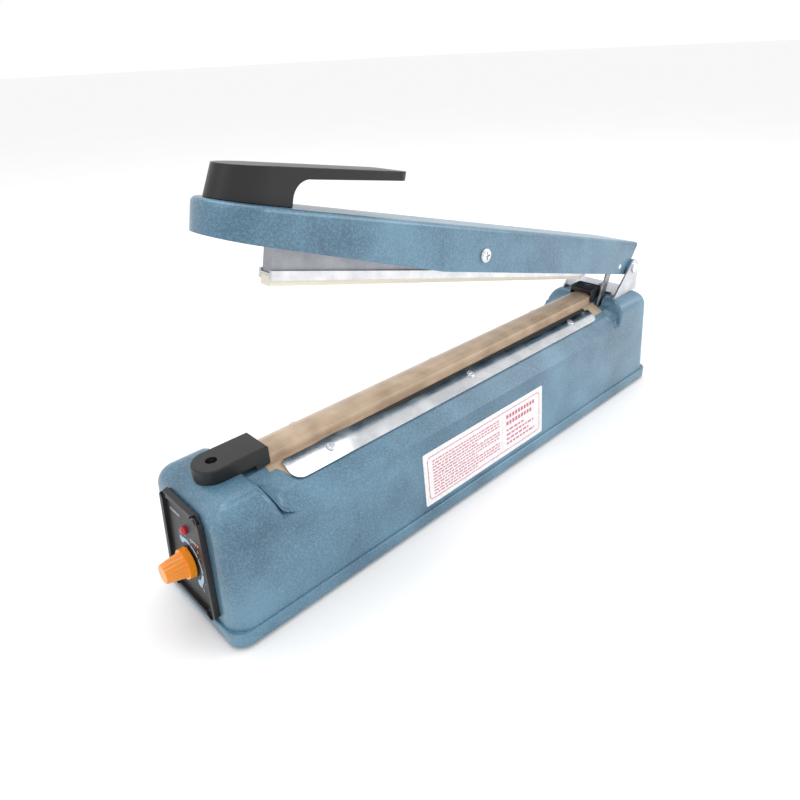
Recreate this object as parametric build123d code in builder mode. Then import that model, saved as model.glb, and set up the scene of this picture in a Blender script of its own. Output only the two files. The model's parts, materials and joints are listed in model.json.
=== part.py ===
"""Hand-operated impulse heat sealer for a 300 mm seal, standing open.

The die-cast base lies along X with its control panel at -X and its hinge at +X.
The origin is on the table under the middle of the overall length, +Z is up.
The pressing arm stands open at open_angle and closes by turning about hinge_x, hinge_z.
"""
from build123d import *
import math
import os

os.makedirs("parts", exist_ok=True)

# ---- Driving dimensions, mm and degrees -------------------------------------------------
base_length = 436.0          # flange, front to rear
base_width = 85.0            # flange, side to side
knob_nose = 13.5             # how far the timer knob stands in front of the flange
foot_lift = 2.5              # the rubber feet hold the flange this far off the table
flange_height = 8.0
flange_step = 1.8            # the walls start this far inside the flange
flange_corner = 10.0
wall_corner = 12.0
wall = 3.0                   # casting wall
side_draft = 4.2             # the walls lean in, degrees
hump_height = 81.0           # top of the front and rear humps above the flange's underside
hump_round = 13.0
front_hump = 45.0            # from the front of the flange to the saddle, at the crease
rear_hump = 57.0             # from the saddle to the rear of the flange, at the crease
saddle_lean = 22.0           # the humps' inner faces lean back, degrees
saddle_round = 4.0
crease_height = 61.0         # where a side wall meets the saddle's roof
knee_height = 69.3           # where the roof's lower slope meets the strip seat
knee_half_width = 26.5
ridge_height = 77.3
ridge_half_width = 11.0

open_angle = 14.6            # arm angle in the modelled pose
hinge_setback = 19.4         # hinge pin ahead of the flange's rear edge
hinge_height = 101.7         # hinge pin above the flange's underside
pin_radius = 2.5
pin_clearance = 0.06

arm_width = 44.0
arm_reach = 388.0            # hinge pin to the arm's nose
arm_top = 21.0               # arm's top face above the hinge line
arm_bottom = 6.4             # arm's lower edge below the hinge line
arm_bend = 241.0             # the lower edge rises ahead of this distance from the pin
arm_nose_depth = 15.5
arm_wall = 2.8
arm_round = 3.0
knuckle_radius = 7.0
knuckle_gap = 0.35           # between the arm's bosses and the bracket's ears

handle_length = 111.5
handle_width = 30.0
handle_block = 37.0          # length of the handle's foot along the arm
handle_front_height = 15.2
handle_rise = 4.9            # the grip's top climbs towards its free end, degrees
grip_thickness = 5.4
grip_throat = 10.0           # inside curve between the foot and the grip

seal_bar_half_width = 9.0
seal_bar_top = 84.3          # flat top of the bar above the flange's underside
seal_bar_flat = 4.0
seal_bar_shoulder = 1.7      # the bar's top rounds down by this at its sides
tape_thickness = 0.2
ribbon_width = 2.5
ribbon_thickness = 0.2
cloth_thickness = 0.3
backing_thickness = 0.4
strip_thickness = 1.0
strip_length = 305.0
strip_scallop = 3.6          # the strip's upper edge draws back between its screws
strip_middle_rise = 2.0      # and comes part of the way back up at the middle screw
strip_screw_pitch = 122.4

press_length = 305.0
press_width = 11.6
press_pivot_reach = 204.0    # hinge pin to the press bar's own pivot
press_pivot_height = 4.2     # above the hinge line
press_droop = 0.8            # the bar hangs nose down by this when the arm is open
rail_top = 8.2               # rail's top face below the hinge line
rail_height = 5.0
rail_groove = 1.5            # groove in the rail's top that seats the web
rail_slot = 2.5              # slot under the rail that grips the silicone
silicone_width = 7.6
seal_gap = 0.4               # left between silicone and cloth when closed
web_half_width = 4.0
web_thickness = 1.2

panel_top_half = 22.0
panel_bottom_half = 25.5
panel_height = 67.0
panel_thickness = 1.2
panel_rim = 3.4
panel_rim_height = 2.2        # the rim stands this far above the plate
knob_height = 35.5           # knob axis above the flange's underside, on the panel's face
knob_skirt_radius = 9.0
knob_radius = 7.4
knob_front_radius = 5.5
shaft_radius = 3.0
lamp_height = 56.5

bracket_thickness = 1.6
bracket_front = 28.0         # the ears' feet start this far ahead of the pin
bracket_rear = 8.0
link_reach = 19.0            # hinge pin to the link's pin
link_lean = 21.0
link_width = 7.0
link_thickness = 1.5
link_offset = -13.6          # the link runs beside the centre line
switch_clearance = 0.35

screw_clearance = 0.1
seat = 0.02                  # hair gap between stacked pieces of one body

# ---- Places worked out from the sizes above ---------------------------------------------
rear_x = (base_length + knob_nose) / 2
front_x = rear_x - base_length
deck_z = foot_lift                              # underside of the flange
flange_top_z = deck_z + flange_height
hump_z = deck_z + hump_height
ridge_z = deck_z + ridge_height
knee_z = deck_z + knee_height
crease_z = deck_z + crease_height
saddle_front_x = front_x + front_hump
saddle_rear_x = rear_x - rear_hump
hinge_x = rear_x - hinge_setback
hinge_z = deck_z + hinge_height
base_middle_x = rear_x - base_length / 2
wall_length = base_length - 2 * flange_step
wall_width = base_width - 2 * flange_step
crease_half = wall_width / 2 - (crease_z - flange_top_z) * math.tan(math.radians(side_draft))
roof_slope = math.degrees(math.atan2(ridge_z - knee_z, knee_half_width - ridge_half_width))
floor_z = deck_z + 1.6                          # top of the bottom plate
arm_half = arm_width / 2
ear_inner = arm_half + 1.6 + knuckle_gap
hinge_point = (hinge_x, 0, hinge_z)

lean = math.radians(open_angle)
along_arm = (math.cos(lean), 0, -math.sin(lean))
above_arm = (math.sin(lean), 0, math.cos(lean))
# In arm_side a profile is drawn as (along the arm to the rear, up) and grows in -Y.
arm_side = Plane(origin=hinge_point, x_dir=along_arm, z_dir=(0, -1, 0))
arm_plan = Plane(origin=hinge_point, x_dir=along_arm, z_dir=above_arm)

press_pivot = arm_side.from_local_coords(Vector(-press_pivot_reach, press_pivot_height, 0))
droop = math.radians(open_angle - press_droop)
press_side = Plane(origin=press_pivot, x_dir=(math.cos(droop), 0, -math.sin(droop)), z_dir=(0, -1, 0))

# The panel's plane lies on the front wall: local X is -Y, local Y climbs the wall.
draft = math.radians(side_draft)
panel_face = Plane(
    origin=(front_x + flange_step, 0, flange_top_z),
    x_dir=(0, -1, 0),
    z_dir=(-math.cos(draft), 0, math.sin(draft)),
)
knob_y = knob_height - flange_height
lamp_y = lamp_height - flange_height


def save(piece, name):
    """Label a finished piece and write it as one STEP file."""
    piece.part.label = name
    export_step(piece.part, f"parts/{name}.step")


def screw(head_radius, head_height, shank_radius, shank_length):
    """A pan-head cross-recessed screw, its head's seat on z = 0 and its head up."""
    with BuildPart() as blank:
        with BuildSketch(Plane.XY):
            Circle(shank_radius)
        extrude(amount=-shank_length)
        with BuildSketch(Plane.XY):
            Circle(head_radius)
        extrude(amount=head_height)
        crown = blank.edges().filter_by(GeomType.CIRCLE).sort_by(Axis.Z)[-1]
        fillet(crown, head_height * 0.6)
        with BuildSketch(Plane.XY.offset(head_height)):
            Rectangle(head_radius * 1.15, head_radius * 0.24)
            Rectangle(head_radius * 0.24, head_radius * 1.15)
        extrude(amount=-head_height * 0.55, mode=Mode.SUBTRACT)
    return blank.part


def placed(solid, planes, name):
    """One node of equal solids, one on each plane."""
    with BuildPart() as group:
        for plane in planes:
            add(solid.moved(plane.location))
    save(group, name)


def roof_outline(drop, reach):
    """The saddle's cross-section as points (Y, Z), left to right, lowered by drop."""
    slope = (knee_z - crease_z) / (crease_half - knee_half_width)
    edge_z = knee_z - slope * (reach - knee_half_width)
    left = [(-reach, edge_z - drop), (-knee_half_width, knee_z - drop), (-ridge_half_width, ridge_z - drop)]
    return left + [(-y, z) for y, z in reversed(left)]


def saddle_space(inset):
    """Everything above the saddle's roof, between the humps; inset moves it into the wall."""
    top = hump_z + 20
    reach = base_width / 2 + 5
    front = saddle_front_x - inset
    rear = saddle_rear_x + inset
    run = (top - crease_z) * math.tan(math.radians(saddle_lean))
    with BuildPart() as space:
        with BuildSketch(Plane.YZ.offset(front - run)):
            with BuildLine():
                Polyline(*roof_outline(inset * 1.25, reach), (reach, top), (-reach, top), close=True)
            make_face()
        extrude(amount=rear - front + 2 * run)
        with BuildSketch(Plane.XZ):
            with BuildLine():
                Polyline(
                    (front, crease_z - 20),
                    (front, crease_z),
                    (front - run, top),
                    (rear + run, top),
                    (rear, crease_z),
                    (rear, crease_z - 20),
                    close=True,
                )
            make_face()
        extrude(amount=reach + 1, both=True, mode=Mode.INTERSECT)
    return space.part


def walls(inset, start_z):
    """The leaning walls and rounded humps as one block; inset makes the cavity."""
    rise = hump_z - inset - start_z
    spread = (flange_top_z - start_z) * math.tan(draft)
    with BuildPart() as block:
        with BuildSketch(Plane((base_middle_x, 0, start_z))):
            RectangleRounded(
                wall_length - 2 * inset + 2 * spread,
                wall_width - 2 * inset + 2 * spread,
                wall_corner - inset,
            )
        extrude(amount=rise, taper=side_draft)
        fillet(block.faces().sort_by(Axis.Z)[-1].edges(), hump_round - inset)
    return block.part


def roof_side(side):
    """Plane on the strip seat of one side: local Y runs outwards and down from the ridge."""
    slope = math.radians(roof_slope)
    return Plane(
        origin=(strip_middle_x, side * ridge_half_width, ridge_z),
        x_dir=(side, 0, 0),
        z_dir=(0, side * math.sin(slope), math.cos(slope)),
    )


# ---- Base casting ------------------------------------------------------------------------
strip_front_gap = 14.5       # the strips start this far behind the saddle's front
strip_middle_x = saddle_front_x + strip_front_gap + strip_length / 2
strip_screw_drop = 7.5       # strip screws below the ridge, down the slope
strip_screw_x = [-strip_screw_pitch, 0, strip_screw_pitch]
post_radius = 5.0
post_height = 36.0
post_y = wall_width / 2 - wall - 4.6
post_setback = 118.0         # screw posts behind the front and ahead of the rear
post_x = [front_x + post_setback, rear_x - post_setback]
post_places = [(x, y) for x in post_x for y in (-post_y, post_y)]
cap_front = 15.5             # front cap's nose behind the front of the flange
cap_length = 39.0
cap_half_width = 10.8
cap_height = 8.6             # above the hump
cap_wall = 1.6
cap_x = front_x + cap_front
cap_hole_x = cap_x + cap_half_width
rear_cap_x = saddle_rear_x - 2.0
rear_cap_length = 15.5
rear_cap_screw_x = rear_cap_x + rear_cap_length - 4.2
rear_cap_height = 8.4
link_slot_front = hinge_x - 37.0
link_slot_rear = hinge_x - 22.8
link_slot_half = 2.4
inlet_y = 22.0               # cord inlet up the rear wall
inlet_bore = 3.7
inlet_radius = 6.0
window_width = 31.0
window_height = 50.0
bracket_half = ear_inner + bracket_thickness
bracket_plate_front = hinge_x - 22.0
bracket_plate_rear = hinge_x + bracket_rear - 2.0
bracket_screw_places = [(hinge_x - 15.0, 14.0), (hinge_x - 15.0, -6.0), (hinge_x - 4.0, 0.0)]
label_length = 127.0
label_height = 38.9
label_front = 144.0          # behind the front of the flange
label_foot = 11.4
label_thickness = 0.25

rear_face = Plane(
    origin=(rear_x - flange_step, 0, flange_top_z),
    x_dir=(0, 1, 0),
    z_dir=(math.cos(draft), 0, math.sin(draft)),
)
panel_screw_places = [(-16.5, 63.2), (16.5, 63.2), (-19.0, 4.6), (19.0, 4.6)]
panel_screw_radius = 1.5

with BuildPart() as cavity:
    add(walls(wall, deck_z))
    add(saddle_space(wall), mode=Mode.SUBTRACT)

with BuildPart() as base_casting:
    with BuildSketch(Plane((base_middle_x, 0, deck_z))):
        RectangleRounded(base_length, base_width, flange_corner)
    extrude(amount=flange_height)
    fillet(base_casting.faces().sort_by(Axis.Z)[-1].edges(), flange_step * 0.75)
    add(walls(0, flange_top_z))
    add(saddle_space(0), mode=Mode.SUBTRACT)
    hump_ends = base_casting.faces().filter_by(
        lambda face: abs(abs(face.normal_at().X) - math.cos(math.radians(saddle_lean))) < 0.02
        and abs(face.center().X - base_middle_x) < base_length / 2 - 20
    )
    fillet(hump_ends.edges().filter_by(lambda edge: edge.center().Z > ridge_z + 1.5), saddle_round)
    add(cavity.part, mode=Mode.SUBTRACT)
    with BuildSketch(Plane.XY.offset(floor_z)):
        with Locations(*post_places):
            Circle(post_radius)
    extrude(amount=post_height)
    with BuildSketch(Plane.XY.offset(floor_z)):
        with Locations(*post_places):
            Circle(1.6 + screw_clearance)
    extrude(amount=14, mode=Mode.SUBTRACT)
    with BuildSketch(panel_face):
        with Locations((0, knob_y + 5)):
            RectangleRounded(window_width, window_height, 3)
    extrude(amount=-wall - 2, mode=Mode.SUBTRACT)
    with BuildSketch(panel_face):
        with Locations(*panel_screw_places):
            Circle(panel_screw_radius + screw_clearance)
    extrude(amount=-wall - 3, mode=Mode.SUBTRACT)
    with BuildSketch(rear_face):
        with Locations((0, inlet_y)):
            Circle(inlet_radius)
    extrude(amount=-wall - 2, mode=Mode.SUBTRACT)
    with BuildSketch(Plane.XY.offset(crease_z - 10)):
        with Locations(((link_slot_front + link_slot_rear) / 2, link_offset)):
            Rectangle(link_slot_rear - link_slot_front, 2 * link_slot_half)
    extrude(amount=hump_height, mode=Mode.SUBTRACT)
    with BuildSketch(Plane.XY.offset(hump_z - wall - 1)):
        with Locations(*bracket_screw_places):
            Circle(1.6 + screw_clearance)
        with Locations((cap_hole_x, 0), (rear_cap_screw_x, 0)):
            Circle(1.5 + screw_clearance)
    extrude(amount=hump_height, mode=Mode.SUBTRACT)
    for side in (-1, 1):
        with BuildSketch(roof_side(side)):
            with Locations(*[(x, strip_screw_drop) for x in strip_screw_x]):
                Circle(1.5 + screw_clearance)
        extrude(amount=-wall - 3, mode=Mode.SUBTRACT)
save(base_casting, "base_casting")

# ---- Bottom plate, its screws and the feet -----------------------------------------------
plate_gap = 0.3
plate_length = wall_length - 2 * wall - 2 * plate_gap
plate_width = wall_width - 2 * wall - 2 * plate_gap
foot_radius = 7.0
foot_reach = 190.0           # feet from the middle of the flange, lengthways
foot_half_gap = 29.0         # and sideways
foot_places = [
    (base_middle_x + side * foot_reach, y) for side in (-1, 1) for y in (-foot_half_gap, foot_half_gap)
]

with BuildPart() as bottom_plate:
    with BuildSketch(Plane((base_middle_x, 0, deck_z))):
        RectangleRounded(plate_length, plate_width, wall_corner - wall)
        with Locations(*[(x - base_middle_x, y) for x, y in post_places]):
            Circle(1.6 + screw_clearance, mode=Mode.SUBTRACT)
    extrude(amount=floor_z - deck_z - seat)
save(bottom_plate, "bottom_plate")

placed(
    screw(3.0, 1.2, 1.6, 12.0),
    [Plane((x, y, deck_z), x_dir=(1, 0, 0), z_dir=(0, 0, -1)) for x, y in post_places],
    "bottom_plate_screws",
)

with BuildPart() as rubber_feet:
    with BuildSketch(Plane.XY):
        with Locations(*foot_places):
            Circle(foot_radius - 0.8)
    extrude(amount=deck_z, taper=-16)
save(rubber_feet, "rubber_feet")

# ---- Control panel: plate with a raised rim, screws, lamp and timer -----------------------
bushing_radius = 3.6
lamp_radius = 2.4


def panel_outline(inset):
    """The panel's tapering outline with cut corners, moved in by inset."""
    corner = 5.0
    top = panel_height - inset
    foot = inset
    wide = panel_bottom_half - inset
    narrow = panel_top_half - inset
    cut = corner - inset * 0.5
    right = [(wide - cut, foot), (wide, foot + cut), (narrow, top - cut), (narrow - cut, top)]
    return right + [(-x, y) for x, y in reversed(right)]


with BuildPart() as control_panel:
    with BuildSketch(panel_face.offset(seat)):
        with BuildLine():
            Polyline(*panel_outline(0.3), close=True)
        make_face()
    extrude(amount=panel_thickness - seat)
    with BuildSketch(panel_face.offset(panel_thickness)):
        with BuildLine():
            Polyline(*panel_outline(0.3), close=True)
        make_face()
        with BuildLine():
            Polyline(*panel_outline(panel_rim), close=True)
        make_face(mode=Mode.SUBTRACT)
    extrude(amount=panel_rim_height)
    with BuildSketch(panel_face.offset(panel_thickness)):
        with Locations(*panel_screw_places):
            Circle(3.6)
    extrude(amount=panel_rim_height, mode=Mode.SUBTRACT)
    with BuildSketch(panel_face):
        with Locations(*panel_screw_places):
            Circle(panel_screw_radius + screw_clearance)
        with Locations((0, knob_y)):
            Circle(bushing_radius + screw_clearance)
        with Locations((0, lamp_y)):
            Circle(lamp_radius + screw_clearance)
    extrude(amount=panel_thickness + panel_rim_height, mode=Mode.SUBTRACT)
save(control_panel, "control_panel")

screw_seat = panel_face.offset(panel_thickness)
placed(
    screw(2.8, 1.3, panel_screw_radius, 5.0),
    [
        Plane(origin=screw_seat.from_local_coords(Vector(x, y, 0)), x_dir=(0, -1, 0), z_dir=panel_face.z_dir)
        for x, y in panel_screw_places
    ],
    "panel_screws",
)


def on_panel(x, y, height):
    """A plane parallel to the panel with its origin at (x, y) and lifted by height."""
    origin = panel_face.from_local_coords(Vector(x, y, height))
    return Plane(origin=origin, x_dir=(0, -1, 0), z_dir=panel_face.z_dir)


with BuildPart() as indicator_lamp:
    with BuildSketch(on_panel(0, lamp_y, -8)):
        Circle(lamp_radius)
    extrude(amount=8 + panel_thickness + 2.6)
    dome = indicator_lamp.edges().filter_by(GeomType.CIRCLE).sort_by(Axis.X)[0]
    fillet(dome, lamp_radius * 0.85)
save(indicator_lamp, "indicator_lamp")

with BuildPart() as lamp_holder:
    with BuildSketch(on_panel(0, lamp_y, -6)):
        Circle(lamp_radius + 1.6)
        Circle(lamp_radius + seat, mode=Mode.SUBTRACT)
    extrude(amount=6 - seat)
save(lamp_holder, "lamp_holder")

pot_radius = 8.5
pot_depth = 11.0
nut_height = 2.0
shaft_inner = -pot_depth + 2.5
knob_back = panel_thickness + 0.8
knob_skirt = 3.6
knob_face = (knob_nose + flange_step + (knob_y - knob_front_radius) * math.sin(draft)) / math.cos(draft)
shaft_tip = knob_face - 3.5

with BuildPart() as timer_potentiometer:
    with BuildSketch(on_panel(0, knob_y, -pot_depth)):
        Circle(pot_radius)
    extrude(amount=pot_depth - seat)
    with BuildSketch(on_panel(0, knob_y, -seat * 2)):
        Circle(bushing_radius)
    extrude(amount=panel_thickness + nut_height + 0.4)
    with BuildSketch(on_panel(0, knob_y, shaft_inner - 0.3)):
        Circle(shaft_radius + pin_clearance)
    extrude(amount=pot_depth + 10, mode=Mode.SUBTRACT)
    with BuildSketch(on_panel(0, knob_y - pot_radius - 2.5, -pot_depth + 2)):
        with GridLocations(4.5, 1, 3, 1):
            Rectangle(2.4, 7)
    extrude(amount=1.0)
save(timer_potentiometer, "timer_potentiometer")

with BuildPart() as potentiometer_nut:
    with BuildSketch(on_panel(0, knob_y, panel_thickness + seat)):
        RegularPolygon(5.6, 6)
        Circle(bushing_radius + seat, mode=Mode.SUBTRACT)
    extrude(amount=nut_height)
save(potentiometer_nut, "potentiometer_nut")

with BuildPart() as timer_shaft:
    with BuildSketch(on_panel(0, knob_y, shaft_inner)):
        Circle(shaft_radius)
    extrude(amount=shaft_tip - shaft_inner)
save(timer_shaft, "timer_shaft")

flute_count = 18
knob_taper = math.degrees(math.atan((knob_radius - knob_front_radius) / (knob_face - knob_back - knob_skirt)))
with BuildPart() as timer_knob:
    with BuildSketch(on_panel(0, knob_y, knob_back)):
        Circle(knob_skirt_radius)
    extrude(amount=knob_skirt, taper=5)
    with BuildSketch(on_panel(0, knob_y, knob_back + knob_skirt)):
        Circle(knob_radius)
        with PolarLocations(knob_radius + 0.35, flute_count):
            Circle(0.75, mode=Mode.SUBTRACT)
    extrude(amount=knob_face - knob_back - knob_skirt, taper=knob_taper)
    with BuildSketch(on_panel(0, knob_y, knob_back)):
        with Locations((0, knob_skirt_radius)):
            Triangle(a=3.2, b=2.6, c=2.6)
    extrude(amount=1.4)
    with BuildSketch(on_panel(0, knob_y, knob_back)):
        Circle(6.4)
    extrude(amount=knob_skirt - 1.0, mode=Mode.SUBTRACT)
    with BuildSketch(on_panel(0, knob_y, knob_back)):
        Circle(shaft_radius + seat)
    extrude(amount=shaft_tip - knob_back + 0.3, mode=Mode.SUBTRACT)
save(timer_knob, "timer_knob")

# ---- Timer board -------------------------------------------------------------------------
board_lift = 7.0
board_length = 74.0
board_width = 52.0
board_setback = 68.0         # middle of the board behind the front of the flange
board_thickness = 1.6
board_x = front_x + board_setback
board_z = floor_z + board_lift
board_corners = [(board_x + i * (board_length / 2 - 4), j * (board_width / 2 - 4)) for i in (-1, 1) for j in (-1, 1)]

with BuildPart() as timer_circuit_board:
    with BuildSketch(Plane((board_x, 0, board_z))):
        Rectangle(board_length, board_width)
        with GridLocations(board_length - 8, board_width - 8, 2, 2):
            Circle(1.6, mode=Mode.SUBTRACT)
    extrude(amount=board_thickness)
save(timer_circuit_board, "timer_circuit_board")

with BuildPart() as board_standoffs:
    with BuildSketch(Plane.XY.offset(floor_z)):
        with Locations(*board_corners):
            RegularPolygon(3.2, 6)
    extrude(amount=board_lift - seat)
    with BuildSketch(Plane.XY.offset(board_z - seat)):
        with Locations(*board_corners):
            Circle(1.5)
    extrude(amount=2 * board_thickness)
save(board_standoffs, "board_standoffs")

component_z = board_z + board_thickness + seat


def upright(x, y, radius, height, name):
    """A round component standing on the board."""
    with BuildPart() as body:
        with BuildSketch(Plane((x, y, component_z))):
            Circle(radius)
        extrude(amount=height)
        fillet(body.faces().sort_by(Axis.Z)[-1].edges(), radius * 0.15)
    save(body, name)


upright(board_x - 22, 12, 6.3, 22.0, "timing_capacitor")

with BuildPart() as timer_relay:
    with BuildSketch(Plane((board_x + 16, 9, component_z))):
        RectangleRounded(20, 16, 1.0)
    extrude(amount=16)
save(timer_relay, "timer_relay")

with BuildPart() as power_triac:
    with BuildSketch(Plane((board_x + 4, -16, component_z))):
        Rectangle(24, 3)
        with Locations((0, 5)):
            Rectangle(10, 4.4)
        with Locations((0, 1.8)):
            Rectangle(10, 3)
    extrude(amount=19)
save(power_triac, "power_triac")

# ---- Transformer -------------------------------------------------------------------------
core_setback = 168.0         # middle of the core behind the front of the flange
core_x = front_x + core_setback
core_length = 62.0
core_height = 50.0
core_stack = 32.0
core_limb = 10.5
coil_half = 24.0

with BuildPart() as transformer_core:
    with BuildSketch(Plane.XZ.offset(-core_stack / 2)):
        with Locations((core_x, floor_z + 2 + core_height / 2)):
            Rectangle(core_length, core_height)
        with Locations(
            (core_x - core_length / 4, floor_z + 2 + core_height / 2),
            (core_x + core_length / 4, floor_z + 2 + core_height / 2),
        ):
            Rectangle(core_length / 2 - 2 * core_limb + 2, core_height - 2 * core_limb, mode=Mode.SUBTRACT)
    extrude(amount=core_stack)
save(transformer_core, "transformer_core")

limb_half = core_length / 4 - (core_length / 2 - 2 * core_limb + 2) / 2
coil_outer = core_length / 4 + (core_length / 2 - 2 * core_limb + 2) / 2
coil_height = core_height - 2 * core_limb
with BuildPart() as transformer_winding:
    with BuildSketch(Plane((core_x, 0, floor_z + 2 + core_limb + seat))):
        RectangleRounded(2 * (coil_outer - 0.3), 2 * coil_half, 4)
        Rectangle(2 * (limb_half + seat), core_stack + 2 * seat, mode=Mode.SUBTRACT)
    extrude(amount=coil_height - 2 * seat)
save(transformer_winding, "transformer_winding")

frame_foot = 12.0
with BuildPart() as transformer_frame:
    with BuildSketch(Plane((core_x, 0, floor_z + seat))):
        Rectangle(core_length + 2 * frame_foot, core_stack)
        with GridLocations(core_length + frame_foot, core_stack - 12, 2, 2):
            Circle(1.7, mode=Mode.SUBTRACT)
    extrude(amount=2 - 2 * seat)
save(transformer_frame, "transformer_frame")

frame_screws = [
    (core_x + i * (core_length + frame_foot) / 2, j * (core_stack - 12) / 2) for i in (-1, 1) for j in (-1, 1)
]
placed(
    screw(3.0, 1.6, 1.6, 1.9),
    [Plane((x, y, floor_z + 2)) for x, y in frame_screws],
    "transformer_screws",
)

# ---- Sealing bar on the ridge: bar, insulating tape, ribbon, cloth ------------------------
bar_front_x = saddle_front_x + 2.0
bar_rear_x = saddle_rear_x + 0.5
cloth_front_x = bar_front_x + 1.5
cloth_rear_x = bar_rear_x
bar_top_z = deck_z + seal_bar_top
shoulder_z = bar_top_z - seal_bar_shoulder
ribbon_z = bar_top_z + tape_thickness
cloth_under_z = ribbon_z + ribbon_thickness + seat
cloth_top_z = cloth_under_z + cloth_thickness
cloth_skirt = 11.5           # how far the cloth reaches down the roof from the ridge
slope_angle = math.radians(roof_slope)

with BuildPart() as seal_bar:
    with BuildSketch(Plane.YZ.offset(bar_front_x)):
        with BuildLine():
            Polyline(
                (-seal_bar_half_width, ridge_z + seat),
                (-seal_bar_half_width, shoulder_z),
                (-seal_bar_flat, bar_top_z),
                (seal_bar_flat, bar_top_z),
                (seal_bar_half_width, shoulder_z),
                (seal_bar_half_width, ridge_z + seat),
                close=True,
            )
        make_face()
    extrude(amount=bar_rear_x - bar_front_x)
save(seal_bar, "seal_bar")

with BuildPart() as insulating_tape:
    with BuildSketch(Plane.YZ.offset(bar_front_x)):
        with Locations((0, bar_top_z + tape_thickness / 2)):
            Rectangle(2 * seal_bar_flat, tape_thickness)
    extrude(amount=bar_rear_x - bar_front_x)
save(insulating_tape, "insulating_tape")

terminal_length = 5.0
terminal_half_width = 4.0
front_terminal_x = bar_front_x - 1.0 - terminal_length
rear_terminal_x = bar_rear_x + 1.0
with BuildPart() as heating_ribbon:
    with BuildSketch(Plane.YZ.offset(front_terminal_x + terminal_length + seat)):
        with Locations((0, ribbon_z + ribbon_thickness / 2)):
            Rectangle(ribbon_width, ribbon_thickness)
    extrude(amount=rear_terminal_x - front_terminal_x - terminal_length - 2 * seat)
save(heating_ribbon, "heating_ribbon")


def cloth_line(lift):
    """The cloth's cross-section line, lifted off the bar and the roof by lift."""
    down = cloth_skirt
    half = [
        (
            ridge_half_width + down * math.cos(slope_angle) + lift * math.sin(slope_angle),
            ridge_z - down * math.sin(slope_angle) + lift * math.cos(slope_angle),
        ),
        (ridge_half_width + lift * math.tan(slope_angle / 2), ridge_z + lift),
        (seal_bar_half_width + lift, ridge_z + lift),
        (seal_bar_half_width + lift, shoulder_z + lift),
        (seal_bar_flat, cloth_under_z + lift - seat),
    ]
    return [(-y, z) for y, z in half] + list(reversed(half))


with BuildPart() as release_cloth:
    with BuildSketch(Plane.YZ.offset(cloth_front_x)):
        with BuildLine():
            Polyline(*cloth_line(seat), *reversed(cloth_line(cloth_thickness)), close=True)
        make_face()
    extrude(amount=cloth_rear_x - cloth_front_x)
    for side in (-1, 1):
        with BuildSketch(roof_side(side)):
            with Locations(*[(x, strip_screw_drop) for x in strip_screw_x]):
                Circle(1.5 + screw_clearance)
        extrude(amount=2, both=True, mode=Mode.SUBTRACT)
save(release_cloth, "release_cloth")

# ---- Clamp strips with scalloped upper edges, backings under them, screws -----------------
strip_upper = 0.6            # the strip's upper edge below the ridge, at a screw
strip_lower = 16.3           # its lower edge, down the slope
backing_lower = 13.0
strip_corner = 7.0


def strip_edge(lower, side):
    """A strip's outline seen from above: its edge towards the ridge dips between the screws."""
    half = strip_length / 2
    mid = strip_screw_pitch / 2
    dip = strip_upper + strip_scallop
    crests = [
        (-half + 9, strip_upper + 1.0),
        (-strip_screw_pitch, strip_upper),
        (-mid, dip),
        (0, dip - strip_middle_rise),
        (mid, dip),
        (half - 9, dip),
    ]
    if side < 0:
        crests = [(-x, y) for x, y in reversed(crests)]
    first, last = crests[0][1], crests[-1][1]
    with BuildLine() as edge:
        Spline(*crests, tangents=[(1, 0), (1, 0)])
        Polyline((-half + 9, first), (-half, first), (-half, lower - strip_corner))
        ThreePointArc(
            (-half, lower - strip_corner),
            (-half + strip_corner * (1 - math.sqrt(0.5)), lower - strip_corner * (1 - math.sqrt(0.5))),
            (-half + strip_corner, lower),
        )
        Line((-half + strip_corner, lower), (half - strip_corner, lower))
        ThreePointArc(
            (half - strip_corner, lower),
            (half - strip_corner * (1 - math.sqrt(0.5)), lower - strip_corner * (1 - math.sqrt(0.5))),
            (half, lower - strip_corner),
        )
        Polyline((half, lower - strip_corner), (half, last), (half - 9, last))
    return edge


for side, name in ((-1, "right"), (1, "left")):
    with BuildPart() as side_backing:
        with BuildSketch(roof_side(side).offset(cloth_thickness + seat)):
            with Locations((0, (strip_upper + backing_lower) / 2)):
                Rectangle(strip_length - 4, backing_lower - strip_upper)
            with Locations(*[(x, strip_screw_drop) for x in strip_screw_x]):
                Circle(1.5 + screw_clearance, mode=Mode.SUBTRACT)
        extrude(amount=backing_thickness - 2 * seat)
    save(side_backing, f"strip_backing_{name}")
    outline = strip_edge(strip_lower, side)
    with BuildPart() as clamp_strip:
        with BuildSketch(roof_side(side).offset(cloth_thickness + backing_thickness)):
            add(outline.line)
            make_face()
            with Locations(*[(x, strip_screw_drop) for x in strip_screw_x]):
                Circle(1.5 + screw_clearance, mode=Mode.SUBTRACT)
        extrude(amount=strip_thickness)
    save(clamp_strip, f"clamp_strip_{name}")

strip_face = cloth_thickness + backing_thickness + strip_thickness
placed(
    screw(2.7, 1.2, 1.5, 5.0),
    [
        Plane(
            origin=roof_side(side).from_local_coords(Vector(x, strip_screw_drop, strip_face)),
            x_dir=(1, 0, 0),
            z_dir=roof_side(side).z_dir,
        )
        for side in (-1, 1)
        for x in strip_screw_x
    ],
    "strip_screws",
)

# ---- End caps, their screws, terminals and ribbon tension spring --------------------------
cap_top_z = hump_z + cap_height
cap_skirt_x = saddle_front_x + 0.5
cap_skirt_z = ridge_z + 1.2
pocket_top_z = cloth_top_z + 0.6
cap_screw_depth = 4.2

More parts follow.
